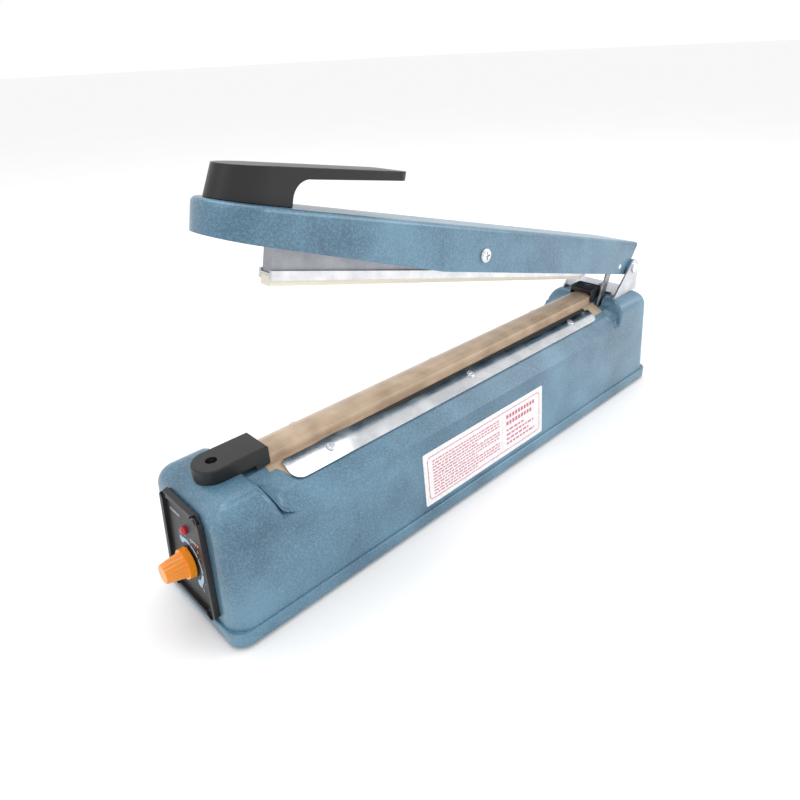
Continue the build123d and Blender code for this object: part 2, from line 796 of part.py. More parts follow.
with BuildPart() as front_cap:
    with BuildSketch(Plane.XY.offset(hump_z + seat)):
        with Locations((cap_hole_x, 0)):
            Circle(cap_half_width)
        with Locations(((cap_hole_x + cap_x + cap_length) / 2, 0)):
            Rectangle(cap_x + cap_length - cap_hole_x, 2 * cap_half_width)
    extrude(amount=cap_height - seat)
    with BuildSketch(Plane.XY.offset(cap_skirt_z)):
        with Locations(((cap_skirt_x + cap_x + cap_length) / 2, 0)):
            Rectangle(cap_x + cap_length - cap_skirt_x, 2 * cap_half_width)
    extrude(amount=hump_z - cap_skirt_z + 1)
    rim = front_cap.faces().sort_by(Axis.Z)[-1].edges()
    fillet(rim, 1.0)
    with BuildSketch(Plane.XY.offset(ridge_z)):
        with Locations(((front_terminal_x - 1 + cap_x + cap_length + 1) / 2, 0)):
            Rectangle(cap_x + cap_length + 2 - front_terminal_x, 2 * (cap_half_width - cap_wall + 0.4))
    extrude(amount=pocket_top_z - ridge_z, mode=Mode.SUBTRACT)
    with BuildSketch(Plane.XY.offset(hump_z)):
        with Locations((cap_hole_x, 0)):
            Circle(1.5 + screw_clearance)
    extrude(amount=cap_height, mode=Mode.SUBTRACT)
    with BuildSketch(Plane.XY.offset(cap_top_z - cap_screw_depth)):
        with Locations((cap_hole_x, 0)):
            Circle(3.1)
    extrude(amount=cap_screw_depth, mode=Mode.SUBTRACT)
save(front_cap, "front_cap")

rear_cap_top_z = hump_z + rear_cap_height
with BuildPart() as rear_cap:
    with BuildSketch(Plane.XY.offset(hump_z + seat)):
        with Locations((rear_cap_x + rear_cap_length / 2, 0)):
            RectangleRounded(rear_cap_length, 2 * cap_half_width, 2)
    extrude(amount=rear_cap_height - seat)
    with BuildSketch(Plane.XY.offset(cap_skirt_z)):
        with Locations((rear_cap_x + 2.4, 0)):
            Rectangle(4.8, 2 * cap_half_width)
    extrude(amount=hump_z - cap_skirt_z + 1)
    fillet(rear_cap.faces().sort_by(Axis.Z)[-1].edges(), 0.8)
    with BuildSketch(Plane.XY.offset(ridge_z)):
        with Locations(((rear_cap_x - 1 + rear_terminal_x + terminal_length + 0.4) / 2, 0)):
            Rectangle(rear_terminal_x + terminal_length + 1.4 - rear_cap_x, 2 * (cap_half_width - cap_wall + 0.4))
    extrude(amount=pocket_top_z - ridge_z, mode=Mode.SUBTRACT)
    with BuildSketch(Plane.XY.offset(hump_z)):
        with Locations((rear_cap_screw_x, 0)):
            Circle(1.5 + screw_clearance)
    extrude(amount=rear_cap_height, mode=Mode.SUBTRACT)
    with BuildSketch(Plane.XY.offset(rear_cap_top_z - 1.6)):
        with Locations((rear_cap_screw_x, 0)):
            Circle(3.1)
    extrude(amount=2, mode=Mode.SUBTRACT)
save(rear_cap, "rear_cap")

cap_screw_places = [(cap_hole_x, cap_top_z - cap_screw_depth), (rear_cap_screw_x, rear_cap_top_z - 1.6)]
placed(screw(2.6, 1.4, 1.5, 7.5), [Plane((x, 0, z)) for x, z in cap_screw_places], "cap_screws")

with BuildPart() as ribbon_terminals:
    for x in (front_terminal_x, rear_terminal_x):
        with BuildSketch(Plane((x + terminal_length / 2, 0, ridge_z + seat))):
            Rectangle(terminal_length, 2 * terminal_half_width)
        extrude(amount=cloth_top_z - ridge_z - seat)
save(ribbon_terminals, "ribbon_terminals")

# ---- Hinge bracket, its screws, pin and clip ----------------------------------------------
ear_round = 6.8
pin_head_radius = 4.2
pin_head_height = 1.4
clip_thickness = 0.8
bracket_notch = 4.6          # the link passes the bracket with this much room either side

with BuildPart() as hinge_bracket:
    with BuildSketch(Plane.XY.offset(hump_z + seat)):
        with Locations(((bracket_plate_front + bracket_plate_rear) / 2, 0)):
            Rectangle(bracket_plate_rear - bracket_plate_front, 2 * bracket_half)
        with Locations((bracket_plate_front, link_offset)):
            Rectangle(8, 2 * bracket_notch, mode=Mode.SUBTRACT)
        with Locations(*bracket_screw_places):
            Circle(1.6 + screw_clearance, mode=Mode.SUBTRACT)
    extrude(amount=bracket_thickness - seat)
    for side in (-1, 1):
        ear_plane = Plane(origin=(hinge_x, side * ear_inner, hinge_z), x_dir=(side, 0, 0), z_dir=(0, -side, 0))
        foot_y = hump_z - hinge_z + seat
        with BuildSketch(ear_plane):
            Circle(ear_round)
            with BuildLine():
                Polyline(
                    (-side * bracket_front, foot_y),
                    (-side * (bracket_front - 1), foot_y + 2.5),
                    (side * bracket_rear, foot_y + 2.5),
                    (side * bracket_rear, foot_y),
                    close=True,
                )
            make_face()
            make_hull()
            Circle(pin_radius + seat, mode=Mode.SUBTRACT)
        extrude(amount=-bracket_thickness)
save(hinge_bracket, "hinge_bracket")

placed(
    screw(3.1, 1.6, 1.6, 5.0),
    [Plane((x, y, hump_z + bracket_thickness)) for x, y in bracket_screw_places],
    "bracket_screws",
)

with BuildPart() as hinge_pin:
    with BuildSketch(Plane.XZ.offset(bracket_half + seat)):
        with Locations((hinge_x, hinge_z)):
            Circle(pin_head_radius)
    extrude(amount=pin_head_height)
    fillet(hinge_pin.faces().sort_by(Axis.Y)[0].edges(), 0.8)
    with BuildSketch(Plane.XZ.offset(bracket_half + seat)):
        with Locations((hinge_x, hinge_z)):
            Circle(pin_radius)
    extrude(amount=-2 * bracket_half - 3.2)
    chamfer(hinge_pin.faces().sort_by(Axis.Y)[-1].edges(), 0.4)
save(hinge_pin, "hinge_pin")

with BuildPart() as pin_clip:
    with BuildSketch(Plane.XZ.offset(-bracket_half - seat)):
        with Locations((hinge_x, hinge_z)):
            Circle(pin_head_radius)
            Circle(pin_radius + seat, mode=Mode.SUBTRACT)
            with Locations((0, pin_head_radius / 2)):
                Rectangle(1.6, pin_head_radius, mode=Mode.SUBTRACT)
    extrude(amount=-clip_thickness)
save(pin_clip, "pin_clip")

# ---- Arm casting -------------------------------------------------------------------------
arm_rear = 3.5               # the arm's top runs this far behind the pin
arm_under = arm_top - arm_nose_depth
boss_reach = ear_inner - knuckle_gap
pivot_radius = 2.0
link_pin_radius = 2.0


def arm_outline(width, reach, rear):
    """The arm seen from above: parallel sides and a half-round nose."""
    half = width / 2
    with BuildLine() as plan:
        Line((rear, half), (-reach + half, half))
        ThreePointArc((-reach + half, half), (-reach, 0), (-reach + half, -half))
        Line((-reach + half, -half), (rear, -half))
        Line((rear, -half), (rear, half))
    return plan.line


handle_front = arm_reach - 4.2
handle_screw_u = [-handle_front + 10.0, -handle_front + 27.0]

with BuildPart() as arm_casting:
    with BuildSketch(arm_side):
        with BuildLine():
            Polyline(
                (-arm_reach - 1, arm_top),
                (arm_rear, arm_top),
                (-knuckle_radius * 0.3, knuckle_radius),
                (-knuckle_radius * 0.3, -arm_bottom),
                (-arm_bend, -arm_bottom),
                (-arm_reach - 1, arm_under),
                close=True,
            )
        make_face()
    extrude(amount=arm_half, both=True)
    outline = arm_outline(arm_width, arm_reach, arm_rear + 5)
    with BuildSketch(arm_plan.offset(-arm_bottom - 1)):
        add(outline)
        make_face()
    extrude(amount=arm_top + arm_bottom + 2, mode=Mode.INTERSECT)
    crown = arm_casting.faces().sort_by(lambda face: arm_plan.to_local_coords(face.center()).Z)[-1]
    fillet(crown.edges().sort_by(Axis.X)[:-1], arm_round)
    with BuildSketch(arm_side):
        Circle(knuckle_radius)
    extrude(amount=boss_reach, both=True)
    inner = arm_outline(arm_width - 2 * arm_wall, arm_reach - arm_wall, -knuckle_radius - 3)
    with BuildSketch(arm_plan.offset(-arm_bottom - 2)):
        add(inner)
        make_face()
    extrude(amount=arm_top - arm_wall + arm_bottom + 2, mode=Mode.SUBTRACT)
    with BuildSketch(arm_side):
        Circle(pin_radius + pin_clearance)
        with Locations((-press_pivot_reach, press_pivot_height)):
            Circle(pivot_radius + screw_clearance)
        with Locations((-link_reach, 0)):
            Circle(link_pin_radius + seat)
    extrude(amount=arm_width, both=True, mode=Mode.SUBTRACT)
    with BuildSketch(arm_plan.offset(arm_top - arm_wall - 1)):
        with Locations(*[(u, 0) for u in handle_screw_u]):
            Circle(2.0 + screw_clearance)
    extrude(amount=arm_wall + 3, mode=Mode.SUBTRACT)
save(arm_casting, "arm_casting")

# ---- Handle ------------------------------------------------------------------------------
handle_seat = arm_top + seat
rise = math.tan(math.radians(handle_rise))
grip_end = -handle_front + handle_length
handle_nose = handle_seat + handle_front_height
grip_top = handle_nose + handle_length * rise
foot_end = -handle_front + handle_block

with BuildPart() as handle:
    with BuildSketch(arm_side):
        with BuildLine():
            throat_top = handle_nose + (handle_block + grip_throat) * rise - grip_thickness
            Polyline(
                (foot_end, throat_top - grip_throat),
                (foot_end, handle_seat),
                (-handle_front, handle_seat),
                (-handle_front, handle_nose),
                (grip_end, grip_top),
                (grip_end, grip_top - grip_thickness + 0.6),
                (foot_end + grip_throat, throat_top),
            )
            ThreePointArc(
                (foot_end + grip_throat, throat_top),
                (foot_end + grip_throat * 0.29, throat_top - grip_throat * 0.29),
                (foot_end, throat_top - grip_throat),
            )
        make_face()
    extrude(amount=handle_width / 2 + 1, both=True)
    half = handle_width / 2
    with BuildSketch(arm_plan.offset(arm_top)):
        with BuildLine():
            Line((-handle_front + 1.6 * half, half), (grip_end - 8, half))
            ThreePointArc((grip_end - 8, half), (grip_end - 2, half - 1.6), (grip_end, half - 5))
            Line((grip_end, half - 5), (grip_end, -half + 5))
            ThreePointArc((grip_end, -half + 5), (grip_end - 2, -half + 1.6), (grip_end - 8, -half))
            Line((grip_end - 8, -half), (-handle_front + 1.6 * half, -half))
            EllipticalCenterArc(
                center=(-handle_front + 1.6 * half, 0),
                x_radius=1.6 * half,
                y_radius=half,
                start_angle=90,
                arc_size=180,
            )
        make_face()
    extrude(amount=grip_top, mode=Mode.INTERSECT)
    crown = handle.faces().sort_by(lambda face: arm_plan.to_local_coords(face.center()).Z)[-1]
    fillet(crown.edges(), 1.2)
    with BuildSketch(arm_plan.offset(arm_top)):
        with Locations(*[(u, 0) for u in handle_screw_u]):
            Circle(2.0 + screw_clearance)
    extrude(amount=10, mode=Mode.SUBTRACT)
save(handle, "handle")

placed(
    screw(3.6, 1.8, 2.0, arm_wall + 8),
    [
        Plane(
            origin=arm_plan.from_local_coords(Vector(u, 0, arm_top - arm_wall)),
            x_dir=along_arm,
            z_dir=(-above_arm[0], 0, -above_arm[2]),
        )
        for u in handle_screw_u
    ],
    "handle_screws",
)

# ---- Press bar's pivot screw, nut and spacers (they belong to the arm) --------------------
spacer_gap = 0.35
pivot_plane = Plane(
    origin=(press_pivot.X, -arm_half - seat, press_pivot.Z), x_dir=(1, 0, 0), z_dir=(0, -1, 0)
)
placed(screw(4.6, 2.0, pivot_radius, arm_width + 5), [pivot_plane], "pivot_screw")

with BuildPart() as pivot_nut:
    with BuildSketch(Plane(origin=(press_pivot.X, arm_half + seat, press_pivot.Z), z_dir=(0, 1, 0))):
        RegularPolygon(4.2, 6)
        Circle(pivot_radius + seat, mode=Mode.SUBTRACT)
    extrude(amount=3.0)
save(pivot_nut, "pivot_nut")

with BuildPart() as pivot_spacers:
    for side in (-1, 1):
        start = side * (web_half_width + spacer_gap)
        with BuildSketch(Plane(origin=(press_pivot.X, start, press_pivot.Z), z_dir=(0, side, 0))):
            Circle(4.0)
            Circle(pivot_radius + seat, mode=Mode.SUBTRACT)
        extrude(amount=arm_half - arm_wall - web_half_width - spacer_gap - seat)
save(pivot_spacers, "pivot_spacers")

# ---- Press bar: web, rail, rivets and silicone --------------------------------------------
rail_z = -rail_top - press_pivot_height   # heights here are from the bar's pivot
press_middle_reach = 197.5   # hinge pin to the bar's middle, a little behind its pivot
press_mid = press_pivot_reach - press_middle_reach
rail_base_z = rail_z - rail_height
silicone_base_z = cloth_top_z + seal_gap - hinge_z - press_pivot_height
web_top = 8.0
press_front = press_mid - press_length / 2
press_section = Plane(
    origin=press_side.from_local_coords(Vector(press_front, 0, 0)),
    x_dir=(0, -1, 0),
    z_dir=(-press_side.x_dir.X, 0, -press_side.x_dir.Z),
)


def along_press(setback):
    """Cross-section plane of the press bar, local Y up, set back from its front end."""
    return press_section.offset(-setback)


rivet_end_gap = 22.0
rivet_radius = 1.4
rivet_hole_depth = 4.5
rivet_x = [rivet_end_gap, press_length / 3, press_length * 2 / 3, press_length - rivet_end_gap]
rivet_planes = [
    Plane(
        origin=press_side.from_local_coords(Vector(press_front + x, rail_z - rail_groove + web_thickness, 0)),
        x_dir=(0, 1, 0),
        z_dir=press_side.y_dir,
    )
    for x in rivet_x
]

with BuildPart() as press_rail:
    with BuildSketch(along_press(0)):
        with Locations((0, rail_z - rail_height / 2)):
            Rectangle(press_width, rail_height)
        with Locations((0, rail_z - rail_groove / 2)):
            Rectangle(2 * web_half_width + 0.2, rail_groove, mode=Mode.SUBTRACT)
        with Locations((0, rail_base_z + rail_slot / 2)):
            Rectangle(silicone_width, rail_slot, mode=Mode.SUBTRACT)
    extrude(amount=-press_length)
    for plane in rivet_planes:
        with BuildSketch(plane.offset(0.5)):
            Circle(rivet_radius + seat)
        extrude(amount=-rivet_hole_depth, mode=Mode.SUBTRACT)
save(press_rail, "press_rail")

web_length = press_length - 3.0
web_base_z = rail_z - rail_groove + seat
with BuildPart() as press_web:
    with BuildSketch(along_press(1.0)):
        with Locations((0, (web_base_z + web_top) / 2)):
            Rectangle(2 * web_half_width, web_top - web_base_z)
    extrude(amount=-web_length)
    with BuildSketch(along_press(1.0 + web_thickness)):
        with Locations((0, (web_base_z + web_thickness + web_top + 1) / 2)):
            Rectangle(2 * (web_half_width - web_thickness), web_top + 1 - web_base_z - web_thickness)
    extrude(amount=-web_length, mode=Mode.SUBTRACT)
    with BuildSketch(press_side):
        Circle(pivot_radius + pin_clearance)
    extrude(amount=web_half_width + 1, both=True, mode=Mode.SUBTRACT)
    for plane in rivet_planes:
        with BuildSketch(plane.offset(0.5)):
            Circle(rivet_radius + seat)
        extrude(amount=-rivet_hole_depth, mode=Mode.SUBTRACT)
save(press_web, "press_web")

with BuildPart() as rail_rivets:
    for plane in rivet_planes:
        with BuildSketch(plane.offset(2 * seat)):
            Circle(2.3)
        extrude(amount=0.9)
        with BuildSketch(plane.offset(2 * seat)):
            Circle(rivet_radius)
        extrude(amount=-(rail_height - rail_slot - rail_groove + web_thickness))
save(rail_rivets, "rail_rivets")

with BuildPart() as silicone_strip:
    with BuildSketch(along_press(0)):
        with Locations((0, (rail_base_z + rail_slot - 2 * seat + silicone_base_z) / 2)):
            Rectangle(silicone_width - 2 * seat, rail_base_z + rail_slot - 2 * seat - silicone_base_z)
    extrude(amount=-press_length)
save(silicone_strip, "silicone_strip")

# ---- Return link, spring and starting switch ----------------------------------------------
link_run = 58.0              # the link's slanting length below its pin
link_pin_point = arm_side.from_local_coords(Vector(-link_reach, 0, 0))
slant = math.radians(link_lean)
link_side = Plane(
    origin=(link_pin_point.X, link_offset, link_pin_point.Z),
    x_dir=(math.cos(slant), 0, -math.sin(slant)),
    z_dir=(0, -1, 0),
)
link_foot = link_side.from_local_coords(Vector(0, -link_run, 0))
link_foot_thickness = 1.5
link_foot_z = link_foot.Z - link_foot_thickness
link_travel = link_reach * math.sin(lean)
spring_radius = 6.0
spring_wire = 1.3
spring_base_z = floor_z + 1.6

with BuildPart() as link_pin:
    with BuildSketch(arm_side):
        with Locations((-link_reach, 0)):
            Circle(link_pin_radius)
    extrude(amount=arm_half, both=True)
save(link_pin, "link_pin")

with BuildPart() as return_link:
    with BuildSketch(link_side):
        with Locations((0, -link_run / 2)):
            Rectangle(link_width, link_run)
        Circle(link_width / 2)
        Circle(link_pin_radius + pin_clearance, mode=Mode.SUBTRACT)
    extrude(amount=link_thickness / 2, both=True)
    with BuildSketch(Plane((link_foot.X, link_offset + 4.0, link_foot_z))):
        Rectangle(16.0, 24.0)
    extrude(amount=link_foot_thickness)
save(return_link, "return_link")

with BuildPart() as spring_post:
    with BuildSketch(Plane((link_foot.X, link_offset, spring_base_z + seat))):
        Circle(3.2)
    extrude(amount=20)
save(spring_post, "spring_post")

spring_height = link_foot_z - spring_base_z - spring_wire - 0.4
with BuildPart() as return_spring:
    with BuildLine() as coil_path:
        Helix(
            pitch=spring_height / 9,
            height=spring_height,
            radius=spring_radius,
            center=(link_foot.X, link_offset, spring_base_z + spring_wire / 2 + 0.2),
        )
    with BuildSketch(Plane(origin=coil_path.line @ 0, z_dir=coil_path.line % 0)):
        Circle(spring_wire / 2)
    sweep(path=coil_path.line)
save(return_spring, "return_spring")

switch_y = 0.0               # the switch stands beside the spring
switch_thickness = 6.4
switch_length = 20.0
switch_height = 15.0
switch_setback = 19.0        # the switch's middle ahead of the link's foot
lever_lift = 0.9             # the lever's pin above the top of the switch
lever_eye_radius = 0.6
lever_thickness = 0.5
switch_x = link_foot.X - switch_setback
switch_top_z = link_foot_z - 7.6
lever_root_x = switch_x - 9.0
lever_length = 28.0
lever_tilt = math.degrees(math.asin((link_foot_z - switch_clearance - switch_top_z - 1.2) / lever_length))
lever_ratio = 0.66           # lever turn for each turn of the arm
plunger_x = lever_root_x + 5.0
plunger_radius = 1.2
lever_plane = Plane(
    origin=(lever_root_x, switch_y, switch_top_z + lever_lift),
    x_dir=(math.cos(math.radians(lever_tilt)), 0, math.sin(math.radians(lever_tilt))),
    z_dir=(0, -1, 0),
)
bracket_y = switch_y + switch_thickness / 2 + seat

with BuildPart() as starting_switch:
    with BuildSketch(Plane((switch_x, switch_y, switch_top_z - switch_height))):
        RectangleRounded(switch_length, switch_thickness, 0.8)
    extrude(amount=switch_height)
    with BuildSketch(Plane.XZ.offset(-switch_y)):
        with Locations((switch_x - 6, switch_top_z - 10), (switch_x + 6, switch_top_z - 10)):
            Circle(1.3 + screw_clearance)
    extrude(amount=switch_thickness, both=True, mode=Mode.SUBTRACT)
    with BuildSketch(Plane((plunger_x, switch_y, switch_top_z - 4))):
        Circle(plunger_radius + pin_clearance)
    extrude(amount=5, mode=Mode.SUBTRACT)
save(starting_switch, "starting_switch")

with BuildPart() as switch_plunger:
    with BuildSketch(Plane((plunger_x, switch_y, switch_top_z - 2.6))):
        Circle(plunger_radius)
    lever_under = lever_lift + (plunger_x - lever_root_x) * math.tan(math.radians(lever_tilt)) - lever_thickness / 2
    extrude(amount=2.6 + lever_under - 0.4)
save(switch_plunger, "switch_plunger")

with BuildPart() as switch_lever:
    with BuildSketch(lever_plane):
        with Locations((lever_length / 2, 0)):
            Rectangle(lever_length, lever_thickness)
        Circle(lever_eye_radius)
    extrude(amount=1.6, both=True)
save(switch_lever, "switch_lever")

with BuildPart() as switch_bracket:
    with BuildSketch(Plane((switch_x + 8, (link_offset + switch_y) / 2 + 1.5, floor_z + seat))):
        Rectangle(52, bracket_y + 1.4 - link_offset + 14)
    extrude(amount=1.6 - seat)
    with BuildSketch(Plane.XZ.offset(-bracket_y)):
        with Locations((switch_x, (floor_z + switch_top_z - 2) / 2 + 0.5)):
            Rectangle(24, switch_top_z - 3 - floor_z)
        with Locations((switch_x - 6, switch_top_z - 10), (switch_x + 6, switch_top_z - 10)):
            Circle(1.3 + screw_clearance, mode=Mode.SUBTRACT)
    extrude(amount=-1.4)
save(switch_bracket, "switch_bracket")

placed(
    screw(2.3, 1.0, 1.3, switch_thickness + 2.4),
    [
        Plane(origin=(switch_x + i * 6, switch_y - switch_thickness / 2 - seat, switch_top_z - 10), z_dir=(0, -1, 0))
        for i in (-1, 1)
    ],
    "switch_screws",
)

# ---- Cord inlet grommet and rating label --------------------------------------------------
def on_rear(lift):
    """A plane parallel to the rear wall at the inlet, lifted outwards."""
    return Plane(
        origin=rear_face.from_local_coords(Vector(0, inlet_y, lift)), x_dir=(0, 1, 0), z_dir=rear_face.z_dir
    )


with BuildPart() as inlet_grommet:
    with BuildSketch(on_rear(-wall - 2.2)):
        Circle(inlet_radius - seat)
    extrude(amount=wall + 2.4)
    with BuildSketch(on_rear(seat)):
        Circle(inlet_radius + 2.2)
    extrude(amount=2.0)
    fillet(inlet_grommet.faces().sort_by(Axis.X)[-1].edges(), 0.8)
    with BuildSketch(on_rear(-wall - 2.2)):
        Circle(inlet_radius + 1.4)
    extrude(amount=2.0)
    with BuildSketch(on_rear(-wall - 3)):
        Circle(inlet_bore)
    extrude(amount=wall + 6, mode=Mode.SUBTRACT)
save(inlet_grommet, "inlet_grommet")

side_face = Plane(
    origin=(front_x + label_front, -wall_width / 2, flange_top_z),
    x_dir=(1, 0, 0),
    z_dir=(0, -math.cos(draft), math.sin(draft)),
)
with BuildPart() as rating_label:
    with BuildSketch(side_face.offset(seat)):
        with Locations((label_length / 2, label_foot - flange_height + label_height / 2)):
            RectangleRounded(label_length, label_height, 1.2)
    extrude(amount=label_thickness)
save(rating_label, "rating_label")
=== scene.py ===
"""Visual model of a hand-operated impulse heat sealer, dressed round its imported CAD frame.

Every length is in millimetres in the classes below and becomes metres where a mesh or an
object is made. The row frame has X from the timer panel to the hinge and Z up.
"""

import json
import logging
import math
import random
from dataclasses import dataclass, field
from enum import Enum

import bmesh
import bpy
from mathutils import Matrix, Vector

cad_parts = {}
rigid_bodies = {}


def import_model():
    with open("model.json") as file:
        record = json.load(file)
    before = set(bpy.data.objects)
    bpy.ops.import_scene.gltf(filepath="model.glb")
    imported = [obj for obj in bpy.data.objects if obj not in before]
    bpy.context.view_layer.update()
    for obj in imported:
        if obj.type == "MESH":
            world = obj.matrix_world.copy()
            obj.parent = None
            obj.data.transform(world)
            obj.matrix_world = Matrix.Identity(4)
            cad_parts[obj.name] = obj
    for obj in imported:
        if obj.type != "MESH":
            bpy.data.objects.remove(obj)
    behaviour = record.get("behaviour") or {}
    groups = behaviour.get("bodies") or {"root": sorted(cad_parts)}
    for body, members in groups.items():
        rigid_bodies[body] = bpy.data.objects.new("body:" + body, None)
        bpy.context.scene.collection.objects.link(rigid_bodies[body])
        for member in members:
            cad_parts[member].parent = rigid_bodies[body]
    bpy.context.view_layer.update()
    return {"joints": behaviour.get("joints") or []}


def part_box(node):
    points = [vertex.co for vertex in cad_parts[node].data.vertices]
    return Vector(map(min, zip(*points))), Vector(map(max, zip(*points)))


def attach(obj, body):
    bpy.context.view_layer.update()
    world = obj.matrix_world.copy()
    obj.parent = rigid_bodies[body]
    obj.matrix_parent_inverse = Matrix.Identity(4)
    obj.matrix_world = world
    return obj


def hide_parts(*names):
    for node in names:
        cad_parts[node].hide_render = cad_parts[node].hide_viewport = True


LOG = logging.getLogger("heat_sealer")
MM = 0.001
Colour = tuple[float, float, float]
Point = tuple[float, float, float]


def tint(red: int, green: int, blue: int) -> Colour:
    """Turn a screen colour, 0 to 255 a channel, into a linear one."""

    def channel(value: int) -> float:
        """Linearise one channel."""
        share = value / 255
        return share / 12.92 if share <= 0.04045 else ((share + 0.055) / 1.055) ** 2.4

    return channel(red), channel(green), channel(blue)


class Side(Enum):
    """The two long sides of the machine, by the sign of Y."""

    RIGHT = -1
    LEFT = 1


class Run(Enum):
    """The direction that a metal's brushing follows."""

    LENGTHWAYS = (0.02, 1.0, 1.0)
    UPRIGHT = (1.0, 1.0, 0.02)


class Recipe:
    """Builds one procedural material, step by step, on a principled shader."""

    def __init__(self, name: str) -> None:
        """Start an empty recipe.

        Args:
            name: The finish's name.
        """
        self.material = bpy.data.materials.new(name)
        self.material.use_nodes = True
        self.nodes = self.material.node_tree.nodes
        self.links = self.material.node_tree.links
        self.shader = self.nodes["Principled BSDF"]
        self.place = self.nodes.new("ShaderNodeTexCoord").outputs["Object"]

    def fixed(self, **values: float) -> None:
        """Set shader inputs that are the same all over the surface.

        Args:
            values: Input names in lower case with underscores, and their numbers.
        """
        for key, value in values.items():
            name = key.replace("_", " ").title().replace("Ior", "IOR")
            self.shader.inputs[name].default_value = value

    def stretched(self, scale: Point) -> bpy.types.NodeSocket:
        """Scale the surface's own coordinates.

        Args:
            scale: The scale along each axis.

        Returns:
            The scaled coordinates' socket.
        """
        node = self.nodes.new("ShaderNodeMapping")
        node.inputs["Scale"].default_value = scale
        self.links.new(self.place, node.inputs["Vector"])
        return node.outputs["Vector"]

    def noise(
        self, scale: float, detail: float = 3.0, where: bpy.types.NodeSocket | None = None
    ) -> bpy.types.NodeSocket:
        """Add soft noise.

        Args:
            scale: Features to the metre.
            detail: Octaves.
            where: Coordinates, or None for the surface's own.

        Returns:
            The noise's value socket.
        """
        node = self.nodes.new("ShaderNodeTexNoise")
        node.inputs["Scale"].default_value = scale
        node.inputs["Detail"].default_value = detail
        self.links.new(where or self.place, node.inputs["Vector"])
        return node.outputs["Fac"]

    def cells(self, scale: float) -> bpy.types.NodeSocket:
        """Add rounded cells, as hammer finish and pressed grain have."""
        node = self.nodes.new("ShaderNodeTexVoronoi")
        node.feature = "SMOOTH_F1"
        node.inputs["Scale"].default_value = scale
        node.inputs["Smoothness"].default_value = 0.6
        self.links.new(self.place, node.inputs["Vector"])
        return node.outputs["Distance"]

    def threads(self, pitch: float, along: str) -> bpy.types.NodeSocket:
        """Add the parallel ridges of a weave, a laminated stack or a winding.

        Args:
            pitch: Distance between ridges, in millimetres.
            along: The axis, X, Y or Z, that the ridges repeat along.

        Returns:
            The ridges' value socket.
        """
        node = self.nodes.new("ShaderNodeTexWave")
        node.bands_direction = along
        node.inputs["Scale"].default_value = math.pi / 10 / (pitch * MM)
        node.inputs["Distortion"].default_value = 0.4
        self.links.new(self.place, node.inputs["Vector"])
        return node.outputs["Fac"]

    def sums(
        self, first: bpy.types.NodeSocket, second: bpy.types.NodeSocket, share: float
    ) -> bpy.types.NodeSocket:
        """Add a share of one value to another.

        Args:
            first: The value taken whole.
            second: The value taken in part.
            share: How much of it is taken.

        Returns:
            The sum's socket.
        """
        node = self.nodes.new("ShaderNodeMath")
        node.operation = "MULTIPLY_ADD"
        self.links.new(second, node.inputs[0])
        node.inputs[1].default_value = share
        self.links.new(first, node.inputs[2])
        return node.outputs["Value"]

    def spread(self, value: bpy.types.NodeSocket, low: float, high: float) -> bpy.types.NodeSocket:
        """Map the middle of a 0 to 1 value onto a range.

        Args:
            value: The value's socket.
            low: The range's lower end.
            high: The range's upper end.

        Returns:
            The mapped value's socket.
        """
        node = self.nodes.new("ShaderNodeMapRange")
        node.inputs["From Min"].default_value = 0.2
        node.inputs["From Max"].default_value = 0.8
        node.inputs["To Min"].default_value = low
        node.inputs["To Max"].default_value = high
        self.links.new(value, node.inputs["Value"])
        return node.outputs["Result"]

    def colours(
        self, value: bpy.types.NodeSocket, dark: Colour, light: Colour, low: float, high: float
    ) -> None:
        """Colour the surface between two tints.

        Args:
            value: What picks the tint.
            dark: The tint at low.
            light: The tint at high.
            low: The value where dark ends.
            high: The value where light begins.
        """
        node = self.nodes.new("ShaderNodeValToRGB")
        node.color_ramp.elements[0].position = low
        node.color_ramp.elements[0].color = (*dark, 1)
        node.color_ramp.elements[1].position = high
        node.color_ramp.elements[1].color = (*light, 1)
        self.links.new(value, node.inputs["Fac"])
        self.links.new(node.outputs["Color"], self.shader.inputs["Base Color"])

    def roughness(self, value: bpy.types.NodeSocket, low: float, high: float) -> None:
        """Let the roughness wander between low and high."""
        self.links.new(self.spread(value, low, high), self.shader.inputs["Roughness"])

    def relief(self, height: bpy.types.NodeSocket, strength: float, depth: float) -> None:
        """Raise the surface.

        Args:
            height: The relief's value socket.
            strength: 0 to 1.
            depth: Height of the relief, in millimetres.
        """
        node = self.nodes.new("ShaderNodeBump")
        node.inputs["Strength"].default_value = strength
        node.inputs["Distance"].default_value = depth * MM
        self.links.new(height, node.inputs["Height"])
        self.links.new(node.outputs["Normal"], self.shader.inputs["Normal"])


@dataclass(frozen=True)
class Finish:
    """What every finish has: a name and the record's slot that it stands for."""

    name: str
    slot: str

    def cook(self) -> Recipe:
        """Build the finish's recipe."""
        return Recipe(self.name)

    def material(self) -> bpy.types.Material:
        """Return the finished material, made once."""
        return bpy.data.materials.get(self.name) or self.cook().material


